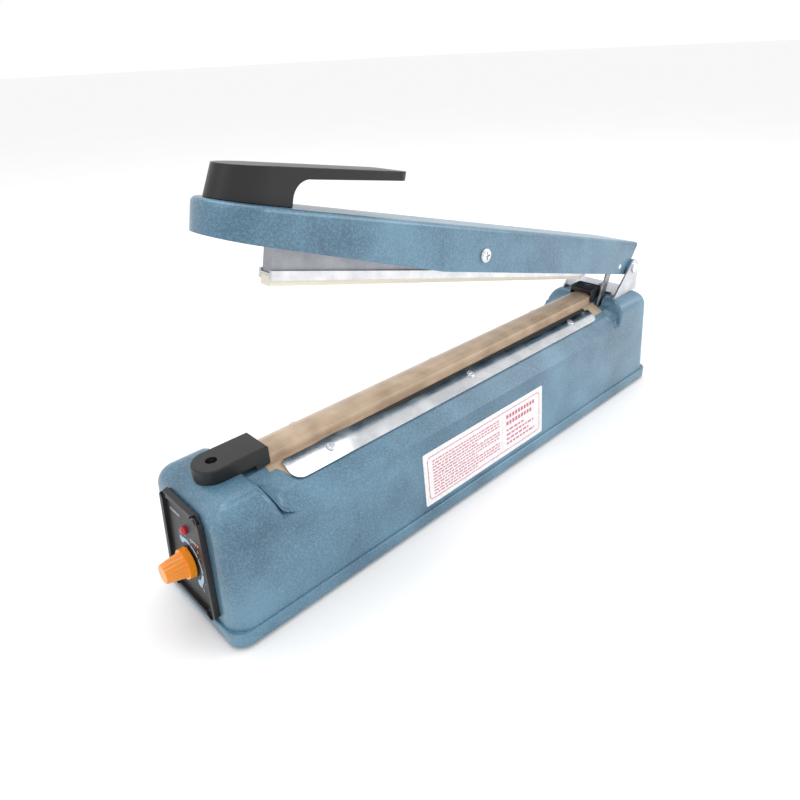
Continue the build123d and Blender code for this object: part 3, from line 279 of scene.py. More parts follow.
@dataclass(frozen=True)
class HammertonePaint(Finish):
    """Stoved hammer-finish enamel: fine dimples with metallic flake under a clear coat."""

    dark: Colour = tint(44, 78, 100)
    light: Colour = tint(100, 140, 163)
    dimple: float = 1.1

    def cook(self) -> Recipe:
        """Dimples, a finer orange peel and slow drifts of tone.

        Returns:
            The recipe.
        """
        recipe = Recipe(self.name)
        dimples = recipe.cells(1 / (self.dimple * MM))
        peel = recipe.noise(1800, 2)
        drift = recipe.noise(22, 4)
        tone = recipe.sums(recipe.sums(drift, dimples, 0.35), peel, 0.25)
        recipe.colours(tone, self.dark, self.light, 0.45, 1.0)
        recipe.roughness(peel, 0.28, 0.44)
        recipe.relief(recipe.sums(dimples, peel, 0.3), 0.35, 0.16)
        recipe.fixed(metallic=0.12, coat_weight=0.35, coat_roughness=0.2, specular_ior_level=0.55)
        return recipe


@dataclass(frozen=True)
class MouldedPlastic(Finish):
    """Injection-moulded plastic with a fine spark-eroded grain."""

    dark: Colour = tint(12, 12, 14)
    light: Colour = tint(24, 24, 27)
    rough: tuple[float, float] = (0.32, 0.45)
    grain: float = 0.25
    depth: float = 0.03
    coat: float = 0.0

    def cook(self) -> Recipe:
        """Grain, handling shine and a slight drift of tone.

        Returns:
            The recipe.
        """
        recipe = Recipe(self.name)
        grain = recipe.noise(1 / (self.grain * MM), 2)
        wear = recipe.noise(35, 5)
        recipe.colours(recipe.sums(wear, grain, 0.3), self.dark, self.light, 0.4, 0.9)
        recipe.roughness(wear, *self.rough)
        recipe.relief(grain, 0.3, self.depth)
        recipe.fixed(coat_weight=self.coat, coat_roughness=0.08)
        return recipe


@dataclass(frozen=True)
class WorkedMetal(Finish):
    """Sheet, bar or wire with drawn lines in it."""

    dark: Colour = tint(176, 178, 182)
    light: Colour = tint(214, 216, 220)
    run: Run = Run.LENGTHWAYS
    rough: tuple[float, float] = (0.2, 0.36)
    line: float = 0.18
    depth: float = 0.012

    def cook(self) -> Recipe:
        """Long drawn lines with a cloudier plating over them.

        Returns:
            The recipe.
        """
        recipe = Recipe(self.name)
        lines = recipe.noise(1 / (self.line * MM), 3, recipe.stretched(self.run.value))
        cloud = recipe.noise(90, 4)
        tone = recipe.sums(cloud, lines, 0.5)
        recipe.colours(tone, self.dark, self.light, 0.5, 1.0)
        recipe.roughness(tone, *self.rough)
        recipe.relief(lines, 0.25, self.depth)
        recipe.fixed(metallic=1.0)
        return recipe


@dataclass(frozen=True)
class MirrorSheet(Finish):
    """Bright-rolled stainless strip: a mirror with faint waves, rolling lines and finger marks."""

    dark: Colour = tint(198, 200, 204)
    light: Colour = tint(226, 228, 231)

    def cook(self) -> Recipe:
        """Slow waves, faint lines and smudges that dull the mirror.

        Returns:
            The recipe.
        """
        recipe = Recipe(self.name)
        waves = recipe.noise(28, 1)
        lines = recipe.noise(4000, 2, recipe.stretched(Run.LENGTHWAYS.value))
        smudge = recipe.noise(60, 5)
        recipe.colours(smudge, self.dark, self.light, 0.35, 0.65)
        recipe.roughness(recipe.sums(smudge, lines, 0.2), 0.04, 0.14)
        recipe.relief(recipe.sums(waves, lines, 0.02), 0.2, 0.25)
        recipe.fixed(metallic=1.0)
        return recipe


@dataclass(frozen=True)
class CoatedCloth(Finish):
    """Woven glass cloth filled with a slick brown coating."""

    dark: Colour = tint(160, 134, 108)
    light: Colour = tint(202, 178, 152)
    pitch: float = 0.55
    weft: str = "Y"

    def cook(self) -> Recipe:
        """Warp and weft under the coating, with patches where it lies thicker.

        Returns:
            The recipe.
        """
        recipe = Recipe(self.name)
        weave = recipe.sums(recipe.threads(self.pitch, "X"), recipe.threads(self.pitch, self.weft), 1.0)
        patch = recipe.noise(70, 4)
        recipe.colours(recipe.sums(patch, weave, 0.12), self.dark, self.light, 0.35, 0.85)
        recipe.roughness(patch, 0.3, 0.48)
        recipe.relief(weave, 0.3, 0.05)
        recipe.fixed(sheen_weight=0.12, coat_weight=0.15, coat_roughness=0.3)
        return recipe


@dataclass(frozen=True)
class SoftRubber(Finish):
    """Rubber with a dull skin."""

    dark: Colour = tint(214, 194, 156)
    light: Colour = tint(240, 224, 190)
    depth_of_light: float = 0.2

    def cook(self) -> Recipe:
        """A fine dull skin with faint extrusion lines.

        Returns:
            The recipe.
        """
        recipe = Recipe(self.name)
        skin = recipe.noise(2500, 2)
        lines = recipe.noise(1600, 2, recipe.stretched(Run.LENGTHWAYS.value))
        dust = recipe.noise(110, 4)
        recipe.colours(recipe.sums(dust, skin, 0.2), self.dark, self.light, 0.4, 0.8)
        recipe.roughness(dust, 0.5, 0.72)
        recipe.relief(recipe.sums(skin, lines, 0.8), 0.35, 0.03)
        recipe.fixed(subsurface_weight=self.depth_of_light, subsurface_scale=0.002)
        return recipe


@dataclass(frozen=True)
class ClearLens(Finish):
    """A tinted clear lens, bright inside."""

    dark: Colour = tint(132, 6, 8)
    light: Colour = tint(214, 26, 22)

    def cook(self) -> Recipe:
        """Inner prisms under a polished dome.

        Returns:
            The recipe.
        """
        recipe = Recipe(self.name)
        prisms = recipe.cells(900)
        recipe.colours(prisms, self.dark, self.light, 0.1, 0.7)
        recipe.roughness(recipe.noise(300, 2), 0.06, 0.14)
        recipe.relief(prisms, 0.15, 0.05)
        recipe.fixed(coat_weight=1.0, coat_roughness=0.03, subsurface_weight=0.3, subsurface_scale=0.001)
        return recipe


@dataclass(frozen=True)
class PrintedFilm(Finish):
    """Printing ink or the film that carries it."""

    dark: Colour = tint(226, 224, 226)
    light: Colour = tint(244, 243, 245)

    def cook(self) -> Recipe:
        """Uneven ink with a slight gloss.

        Returns:
            The recipe.
        """
        recipe = Recipe(self.name)
        ink = recipe.noise(700, 4)
        recipe.colours(ink, self.dark, self.light, 0.35, 0.65)
        recipe.roughness(recipe.noise(60, 3), 0.28, 0.42)
        recipe.relief(ink, 0.15, 0.01)
        return recipe


@dataclass(frozen=True)
class LayeredStack(Finish):
    """Laminated steel, wound wire or board laminate, shown by its layers."""

    dark: Colour = tint(58, 58, 62)
    light: Colour = tint(104, 104, 110)
    pitch: float = 0.5
    along: str = "Y"
    metal: float = 0.6

    def cook(self) -> Recipe:
        """Layer lines under a thin varnish.

        Returns:
            The recipe.
        """
        recipe = Recipe(self.name)
        layers = recipe.threads(self.pitch, self.along)
        varnish = recipe.noise(120, 4)
        recipe.colours(recipe.sums(layers, varnish, 0.5), self.dark, self.light, 0.2, 1.2)
        recipe.roughness(varnish, 0.3, 0.55)
        recipe.relief(layers, 0.4, 0.08)
        recipe.fixed(metallic=self.metal, coat_weight=0.3, coat_roughness=0.2)
        return recipe


PAINT = HammertonePaint("hammertone_blue", "hammertone_paint")
BLACK = MouldedPlastic("satin_black_moulding", "black_plastic")
PANEL = MouldedPlastic(
    "panel_black", "panel_plastic", tint(15, 16, 19), tint(31, 32, 37), (0.36, 0.52), 0.4, 0.05
)
ORANGE = MouldedPlastic(
    "orange_knob", "orange_plastic", tint(238, 132, 0), tint(252, 158, 4), (0.24, 0.36), 0.5, 0.02, 0.3
)
BUTTON_RED = MouldedPlastic("switch_red", "red_button", tint(140, 18, 16), tint(176, 32, 28), (0.25, 0.38))
COMPONENT = MouldedPlastic("component_case", "component_plastic", tint(38, 38, 42), tint(60, 60, 66))
ZINC = WorkedMetal("zinc_plated_sheet", "zinc_sheet", run=Run.UPRIGHT)
SCREW = WorkedMetal(
    "zinc_plated_screw", "zinc_screws", tint(190, 192, 196), tint(228, 230, 233), rough=(0.14, 0.26)
)
DARK_SCREW = WorkedMetal(
    "blackened_screw", "black_screws", tint(20, 20, 22), tint(44, 44, 48), rough=(0.3, 0.45)
)
PIN = WorkedMetal(
    "polished_pin", "polished_steel", tint(200, 202, 206), tint(236, 238, 240), rough=(0.1, 0.2)
)
WIRE = WorkedMetal("spring_wire", "spring_steel", tint(120, 121, 126), tint(168, 170, 176))
STRIP = MirrorSheet("mirror_strip", "polished_strip")
RAIL = WorkedMetal(
    "bright_rail", "bright_aluminium", tint(196, 198, 202), tint(232, 233, 236), rough=(0.16, 0.3)
)
WEB = WorkedMetal("satin_web", "satin_sheet", tint(150, 152, 158), tint(184, 186, 192), rough=(0.34, 0.5))
SILICONE = SoftRubber("cream_silicone", "cream_silicone")
FOOT_RUBBER = SoftRubber("black_rubber", "black_rubber", tint(20, 20, 21), tint(36, 36, 38), 0.0)
CLOTH = CoatedCloth("tan_release_cloth", "tan_cloth")
BACKING = CoatedCloth("black_backing", "black_backing", tint(16, 16, 18), tint(34, 34, 38), 0.8)
TAPE = CoatedCloth("insulating_tape", "tan_cloth", tint(150, 124, 96), tint(176, 150, 120))
RIBBON = WorkedMetal("resistance_ribbon", "ribbon_alloy", tint(132, 124, 112), tint(176, 168, 154))
BRASS = WorkedMetal("turned_brass", "brass_terminals", tint(160, 126, 62), tint(208, 172, 98))
CAN = WorkedMetal("pressed_can", "component_metal")
BOARD = LayeredStack("board_laminate", "board_laminate", tint(14, 62, 34), tint(28, 96, 52), 3.0, "X", 0.0)
CORE = LayeredStack("core_laminations", "core_laminations")
WINDING = LayeredStack(
    "varnished_winding", "winding_wrap", tint(150, 112, 44), tint(206, 168, 84), 0.8, "Z", 0.0
)
LENS = ClearLens("red_lens", "red_lens")
LABEL_FILM = PrintedFilm("label_film", "paper_label")
LABEL_INK = PrintedFilm("label_ink", "paper_label", tint(186, 84, 104), tint(214, 122, 138))
DIAL_INK = PrintedFilm("dial_ink", "panel_plastic", tint(132, 178, 214), tint(176, 208, 234))
MARK_INK = PrintedFilm("mark_ink", "panel_plastic", tint(150, 160, 178), tint(190, 198, 212))


class Maker:
    """What every sub-assembly does: dress CAD nodes, round their edges, make new pieces."""

    body = "base"

    def dress(self, finish: Finish, *nodes: str) -> None:
        """Give CAD nodes a finish.

        Args:
            finish: The finish.
            nodes: CAD node names.
        """
        shown = bpy.data.objects
        for node in nodes:
            mesh = shown[node].data
            mesh.materials.clear()
            mesh.materials.append(finish.material())

    def piece(
        self, name: str, points: list[Point], faces: list[tuple[int, ...]], finish: Finish, body: str = ""
    ) -> bpy.types.Object:
        """Make a new piece from points in millimetres.

        Args:
            name: The piece's name.
            points: Its vertices.
            faces: Its faces.
            finish: Its finish.
            body: The body it rides on, or the maker's own.

        Returns:
            The piece, riding on its body.
        """
        mesh = bpy.data.meshes.new(name)
        mesh.from_pydata([tuple(value * MM for value in point) for point in points], [], faces)
        mesh.materials.append(finish.material())
        made = bpy.data.objects.new(name, mesh)
        bpy.context.scene.collection.objects.link(made)
        for polygon in mesh.polygons:
            polygon.use_smooth = True
        mesh.set_sharp_from_angle(angle=math.radians(40))
        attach(made, body or self.body)
        LOG.info("made %s with %d points", name, len(points))
        return made

    def rounded(
        self, node: str, finish: Finish, width: float, body: str = "", segments: int = 3
    ) -> bpy.types.Object:
        """Stand in for a CAD node with the same shape, its sharp edges eased.

        Args:
            node: The CAD node.
            finish: The finish.
            width: Width of the eased edge, in millimetres.
            body: The body it rides on, or the maker's own.
            segments: Facets across the eased edge.

        Returns:
            The piece that replaces the node.
        """
        shape = bmesh.new()
        shape.from_mesh(bpy.data.objects[node].data)
        bmesh.ops.remove_doubles(shape, verts=shape.verts, dist=1e-6)
        flat = math.radians(0.8)
        bmesh.ops.dissolve_limit(shape, angle_limit=flat, verts=shape.verts, edges=shape.edges)
        sharp = [
            edge for edge in shape.edges if edge.is_manifold and edge.calc_face_angle(0.0) > math.radians(38)
        ]
        bmesh.ops.bevel(
            shape,
            geom=sharp,
            offset=width * MM,
            segments=segments,
            profile=0.5,
            affect="EDGES",
            clamp_overlap=True,
        )
        mesh = bpy.data.meshes.new(f"{node}_eased")
        shape.to_mesh(mesh)
        shape.free()
        mesh.materials.clear()
        mesh.materials.append(finish.material())
        for polygon in mesh.polygons:
            polygon.use_smooth = True
            polygon.material_index = 0
        mesh.set_sharp_from_angle(angle=math.radians(34))
        made = bpy.data.objects.new(f"{node}_eased", mesh)
        bpy.context.scene.collection.objects.link(made)
        weigh = made.modifiers.new("even_normals", "WEIGHTED_NORMAL")
        weigh.keep_sharp = True
        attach(made, body or self.body)
        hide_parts(node)
        LOG.info("eased %s", node)
        return made


@dataclass
class BaseHousing(Maker):
    """The painted base casting with its bottom plate, feet, grommet and saddle blends."""

    draft: float = 4.2
    lean: float = 22.0
    flange_top: float = 10.5
    half_width_at_flange: float = 40.7
    crease: tuple[float, float] = (36.81, 63.5)
    knee: tuple[float, float] = (26.5, 71.8)
    ridge: tuple[float, float] = (11.0, 79.8)
    front_crease: float = -166.25
    rear_crease: float = 167.75
    hump_top: float = 83.5
    hump_half_width: float = 35.3
    hump_round: float = 13.0
    saddle_round: float = 4.0
    front_radius: float = 12.0
    rear_radius: float = 9.0
    arc_steps: int = 10
    corner_ease: float = 0.3
    overlap: float = 1.2
    proud: float = 0.008
    sunk: float = 0.045

    def dress_nodes(self) -> None:
        """Finish the casting and what is screwed to it."""
        self.dress(PAINT, "base_casting")
        self.dress(ZINC, "bottom_plate")
        self.dress(SCREW, "bottom_plate_screws")
        self.dress(FOOT_RUBBER, "rubber_feet", "inlet_grommet")

    def roof(self, reach: float) -> tuple[float, float]:
        """Return the roof's height and slope at a distance from the centre line.

        Args:
            reach: Distance from the centre line.

        Returns:
            Height and the slope's angle in radians, eased over the fold lines.
        """
        lower = math.atan2(self.knee[1] - self.crease[1], self.crease[0] - self.knee[0])
        upper = math.atan2(self.ridge[1] - self.knee[1], self.knee[0] - self.ridge[0])
        share = min(1.0, max(0.0, (reach - self.knee[0]) / (2 * self.corner_ease) + 0.5))
        slope = upper + (lower - upper) * share
        if reach >= self.knee[0]:
            height = self.knee[1] - (reach - self.knee[0]) * math.tan(lower)
        else:
            height = self.knee[1] + (self.knee[0] - reach) * math.tan(upper)
        return height, slope

    def face_top(self, reach: float) -> float:
        """Find where a hump's inner face ends.

        Args:
            reach: Distance from the centre line.

        Returns:
            The height of the face's upper edge there.
        """
        past = max(0.0, reach - (self.hump_half_width - self.hump_round))
        dome = math.sqrt(max(0.0, self.hump_round**2 - past**2))
        return self.hump_top - self.hump_round + dome - self.saddle_round * max(0.0, 1 - past / 3)

    def room(self, corner: Vector, up_face: Vector) -> float:
        """Find how far up a hump's face a blend can start and still leave flat face above it.

        Args:
            corner: Where the face meets the roof.
            up_face: The direction up the face.

        Returns:
            The distance up the face.
        """
        climb = 0.0
        while climb < self.front_radius:
            spot = corner + up_face * (climb + self.overlap + 0.2)
            if spot.z > self.face_top(abs(spot.y)):
                break
            climb += 0.1
        return max(0.3, climb)

    def stations(self, start: float) -> list[float]:
        """Space out the places that a blend is built at, close together at the knee.

        Args:
            start: Distance from the centre line where the blend begins.

        Returns:
            Distances from the centre line.
        """
        knee = self.knee[0]
        inner = [start + (knee - self.corner_ease - start) * step / 8 for step in range(9)]
        outer = knee + self.corner_ease
        return inner + [outer + (self.crease[0] - outer) * step / 8 for step in range(9)]

    def blend(self, name: str, side: Side, ahead: int, start: float, radius: float) -> None:
        """Make the hollow blend between a hump's face and the saddle's roof.

        Args:
            name: The piece's name.
            side: Which side of the centre line.
            ahead: 1 if the saddle lies towards +X of the hump, else -1.
            start: Distance from the centre line where the blend begins.
            radius: Its radius where it is full.
        """
        lean = math.radians(self.lean)
        crease_x = self.front_crease if ahead > 0 else self.rear_crease
        face_normal = Vector((ahead * math.cos(lean), 0, math.sin(lean)))
        points: list[Point] = []
        reaches = self.stations(start)
        for reach in reaches:
            height, slope = self.roof(reach)
            normal = Vector((0, side.value * math.sin(slope), math.cos(slope)))
            along = face_normal.cross(normal).normalized()
            if along.y * side.value < 0:
                along.negate()
            up_face = along.cross(face_normal).normalized()
            up_face = up_face if up_face.z > 0 else -up_face
            out_roof = along.cross(normal).normalized()
            out_roof = out_roof if out_roof.x * ahead > 0 else -out_roof
            corner_x = crease_x - ahead * (height - self.crease[1]) * math.tan(lean)
            corner = Vector((corner_x, side.value * reach, height))
            between = up_face.angle(out_roof)
            reach_out = min(radius / math.tan(between / 2), self.room(corner, up_face))
            full = reach_out * math.tan(between / 2)
            centre = corner + (up_face + out_roof).normalized() * (full / math.sin(between / 2))
            first = (corner + up_face * reach_out - centre).normalized()
            last = (corner + out_roof * reach_out - centre).normalized()
            turns = [turn / self.arc_steps for turn in range(self.arc_steps + 1)]
            arc = [centre + first.slerp(last, turn) * full for turn in turns]
            arc = [spot + (face_normal + normal) * self.proud for spot in arc]
            arc.insert(0, arc[0] + up_face * self.overlap - face_normal * self.sunk)
            arc.append(arc[-1] + out_roof * self.overlap - normal * self.sunk)
            for spot in arc:
                shift = self.to_wall(spot, along, side)
                if reach != reaches[-1]:
                    shift = min(0.0, shift)
                points.append(tuple(spot + along * shift))
        row = self.arc_steps + 3
        faces = [
            (a, a + 1, a + row + 1, a + row)
            for step in range(len(reaches) - 1)
            for a in range(step * row, step * row + row - 1)
        ]
        if ahead * side.value > 0:
            faces = [tuple(reversed(face)) for face in faces]
        self.piece(name, points, faces, PAINT)

    def to_wall(self, spot: Vector, along: Vector, side: Side) -> float:
        """Find how far a spot is from the leaning side wall.

        Args:
            spot: The spot.
            along: The direction that it moves in.
            side: Which side of the centre line.

        Returns:
            The distance along that direction.
        """
        slant = math.tan(math.radians(self.draft))
        wall = self.half_width_at_flange - (spot.z - self.flange_top) * slant
        return (wall - side.value * spot.y) / (side.value * along.y + along.z * slant)

    def build(self) -> None:
        """Dress the casting and add the four blends."""
        self.dress_nodes()
        for side in Side:
            word = side.name.lower()
            self.blend(f"front_hump_blend_{word}", side, 1, 14.0, self.front_radius)
            self.blend(f"rear_hump_blend_{word}", side, -1, 17.5, self.rear_radius)


@dataclass
class TimerPanel(Maker):
    """The moulded front panel with its dial, lamp, corner screws and timer knob."""

    plate: float = 1.24
    dial_radius: float = 13.2
    dial_spans: tuple[tuple[float, float, float, float], ...] = (
        (-28.0, 12.0, 3.0, 1.5),
        (16.0, 50.0, 1.4, 1.3),
        (54.0, 92.0, 1.3, 1.6),
        (96.0, 138.0, 1.8, 3.2),
    )
    digit_height: float = 2.4
    digit_radius: float = 17.6
    lamp_rise: float = 21.0
    origin: Vector = field(default_factory=Vector)
    right: Vector = field(default_factory=lambda: Vector((0, -1, 0)))
    up: Vector = field(default_factory=Vector)
    out: Vector = field(default_factory=Vector)

    def place_from(self, joints: list[dict]) -> None:
        """Take the panel's frame from the timer joint.

        Args:
            joints: The record's joints.
        """
        joint = next(each for each in joints if each["name"] == "timer_turn")
        self.origin = Vector(joint["pos_m"]) / MM
        self.out = Vector(joint["axis"]).normalized()
        if self.out.x > 0:
            self.out.negate()
        self.up = self.right.cross(self.out).normalized()
        if self.up.z < 0:
            self.up.negate()

    def at(self, across: float, above: float, lift: float) -> Point:
        """Return a point of the panel, measured from the knob's axis."""
        return tuple(self.origin + self.right * across + self.up * above + self.out * lift)

    def on_dial(self, angle: float, radius: float) -> tuple[float, float]:
        """Return across and above for a clock angle in degrees and a radius."""
        turn = math.radians(angle)
        return radius * math.sin(turn), radius * math.cos(turn)

    def scale_marks(self) -> None:
        """Print the broken ring of the dial and the short ticks outside it."""
        points: list[Point] = []
        faces: list[tuple[int, ...]] = []
        for start, end, width_first, width_last in self.dial_spans:
            steps = 14
            base = len(points)
            for step in range(steps + 1):
                share = step / steps
                angle = start + (end - start) * share
                width = width_first + (width_last - width_first) * share
                for radius in (self.dial_radius - width / 2, self.dial_radius + width / 2):
                    points.append(self.at(*self.on_dial(angle, radius), self.plate))
            firsts = range(base, base + 2 * steps, 2)
            faces += [(first, first + 1, first + 3, first + 2) for first in firsts]
        for angle, size in ((-30.0, 2.3), (140.0, 2.4)):
            faces.append(self.spot(points, self.on_dial(angle, self.dial_radius), size))
        self.piece("dial_ring", points, faces, DIAL_INK)
        points, faces = [], []
        for angle in range(-30, 150, 12):
            base = len(points)
            for side in (-0.9, 0.9):
                for radius in (self.dial_radius + 2.6, self.dial_radius + 3.3):
                    points.append(self.at(*self.on_dial(angle + side, radius), self.plate))
            faces.append((base, base + 1, base + 3, base + 2))
        self.piece("dial_ticks", points, faces, MARK_INK)

    def spot(self, points: list[Point], centre: tuple[float, float], radius: float) -> tuple[int, ...]:
        """Add a round printed spot.

        Args:
            points: The list that takes its points.
            centre: Across and above.
            radius: Its radius.

        Returns:
            The spot's face.
        """
        base = len(points)
        count = 20
        for step in range(count):
            turn = math.tau * step / count
            across = centre[0] + radius * math.sin(turn)
            above = centre[1] + radius * math.cos(turn)
            points.append(self.at(across, above, self.plate + 0.01))
        return tuple(range(base, base + count))

    def digits(self) -> None:
        """Print the dial's numbers, 1 to 8."""
        spin = Matrix((self.right, self.up, self.out)).transposed().to_4x4()
        for number in range(1, 9):
            angle = -30 + (number - 1) * 24
            curve = bpy.data.curves.new(f"dial_number_{number}", "FONT")
            curve.body = str(number)
            curve.size = self.digit_height * 1.35 * MM
            curve.align_x = "CENTER"
            curve.align_y = "CENTER"
            holder = bpy.data.objects.new("number_shape", curve)
            mesh = bpy.data.meshes.new_from_object(holder)
            bpy.data.objects.remove(holder)
            spot = Vector(self.at(*self.on_dial(angle, self.digit_radius), self.plate)) * MM
            mesh.transform(Matrix.Translation(spot) @ spin)
            mesh.materials.clear()
            mesh.materials.append(MARK_INK.material())
            made = bpy.data.objects.new(f"dial_number_{number}", mesh)
            bpy.context.scene.collection.objects.link(made)
            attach(made, self.body)

    def dashes(self) -> None:
        """Print two plain dashed rows beside the lamp, where such panels carry words."""
        points: list[Point] = []
        faces: list[tuple[int, ...]] = []
        for row_start, row_rise, count in ((-15.5, self.lamp_rise + 5.6, 6), (4.5, self.lamp_rise - 4.4, 6)):
            for step in range(count):
                left = row_start + step * 1.9
                base = len(points)
                for across in (left, left + 1.3):
                    for above in (row_rise, row_rise + 1.5):
                        points.append(self.at(across, above, self.plate))
                faces.append((base, base + 1, base + 3, base + 2))
        self.piece("panel_dashes", points, faces, MARK_INK)

    def build(self, joints: list[dict]) -> None:
        """Build the panel.

        Args:
            joints: The record's joints.
        """
        self.place_from(joints)
        self.rounded("control_panel", PANEL, 0.7)
        self.dress(DARK_SCREW, "panel_screws")
        self.dress(LENS, "indicator_lamp")
        self.dress(COMPONENT, "lamp_holder")
        self.dress(CAN, "timer_potentiometer", "potentiometer_nut", "timer_shaft")
        self.dress(ORANGE, "timer_knob")
        self.scale_marks()
        self.digits()
        self.dashes()


@dataclass
class RatingLabel(Maker):
    """The printed film on the right side wall, with plain bars where words would be."""

    draft: float = 4.2
    lift: float = 0.04
    border_inset: float = 3.4
    border_width: float = 0.6
    corner: float = 3.6
    words_seed: int = 7
    left: float = 0.0
    foot: float = 0.0
    face: float = 0.0
    length: float = 0.0
    height: float = 0.0

    def plane(self) -> None:
        """Take the label's place from its CAD node."""
        low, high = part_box("rating_label")
        self.left = low.x / MM
        self.foot = low.z / MM
        self.face = low.y / MM
        self.length = (high.x - low.x) / MM
        self.height = (high.z - low.z) / MM

    def at(self, along: float, rise: float) -> Point:
        """Return a point just proud of the film, from its lower front corner."""
        slant = math.tan(math.radians(self.draft))
        return self.left + along, self.face + rise * slant - self.lift, self.foot + rise

    def bar(
        self, points: list[Point], faces: list[tuple[int, ...]], box: tuple[float, float, float, float]
    ) -> None:
        """Add one flat bar.

        Args:
            points: The list that takes its corners.
            faces: The list that takes its face.
            box: Start, foot, length and height.
        """
        start, foot, length, height = box
        base = len(points)
        points += [
            self.at(start, foot),
            self.at(start + length, foot),
            self.at(start + length, foot + height),
            self.at(start, foot + height),
        ]
        faces.append((base, base + 1, base + 2, base + 3))

    def border(self) -> None:
        """Print the rounded frame line."""
        points: list[Point] = []
        rings = []
        for inset in (self.border_inset, self.border_inset + self.border_width):
            ring = []
            radius = self.corner - (inset - self.border_inset)
            for corner, (cx, cz) in enumerate(((1, 1), (0, 1), (0, 0), (1, 0))):
                middle_x = inset + radius + cx * (self.length - 2 * inset - 2 * radius)
                middle_z = inset + radius + cz * (self.height - 2 * inset - 2 * radius)
                for step in range(7):
                    turn = math.radians(corner * 90 + step * 15)
                    ring.append(len(points))
                    along = middle_x + radius * math.cos(turn)
                    points.append(self.at(along, middle_z + radius * math.sin(turn)))
            rings.append(ring)
        outer, inner = rings
        count = len(outer)
        faces = [(outer[k], outer[(k + 1) % count], inner[(k + 1) % count], inner[k]) for k in range(count)]
        self.piece("label_border", points, faces, LABEL_INK)

    def words(self) -> None:
        """Print rows of plain bars: fine rows at the front, bolder ones at the rear."""
        points: list[Point] = []
        faces: list[tuple[int, ...]] = []
        chance = random.Random(self.words_seed)
        for row in range(12):
            foot = self.height - 8.2 - row * 2.25
            at = 8.0
            end = 76.0 if row not in (3, 7, 11) else 52.0
            while at < end:
                length = chance.uniform(1.4, 4.2)
                self.bar(points, faces, (at, foot, min(length, end - at), 0.95))
                at += length + 0.8
        for row in range(14):
            self.bar(points, faces, (79.2, 6.4 + row * 1.9, 0.35, 1.0))
        for foot, height, end in ((28.6, 3.0, 117.0), (23.4, 3.0, 112.0)):
            at = 84.0
            while at < end:
                self.bar(points, faces, (at, foot, 2.4, height))
                at += 3.4
        for row, end in enumerate((104.0, 116.0, 110.0, 117.0)):
            at = 84.0
            while at < end:
                length = chance.uniform(1.8, 4.6)
                self.bar(points, faces, (at, 18.6 - row * 3.6, min(length, end - at), 1.5))
                at += length + 1.1
        self.piece("label_bars", points, faces, LABEL_INK)

    def build(self) -> None:
        """Dress the film and print on it."""
        self.plane()
        self.dress(LABEL_FILM, "rating_label")
        self.border()
        self.words()


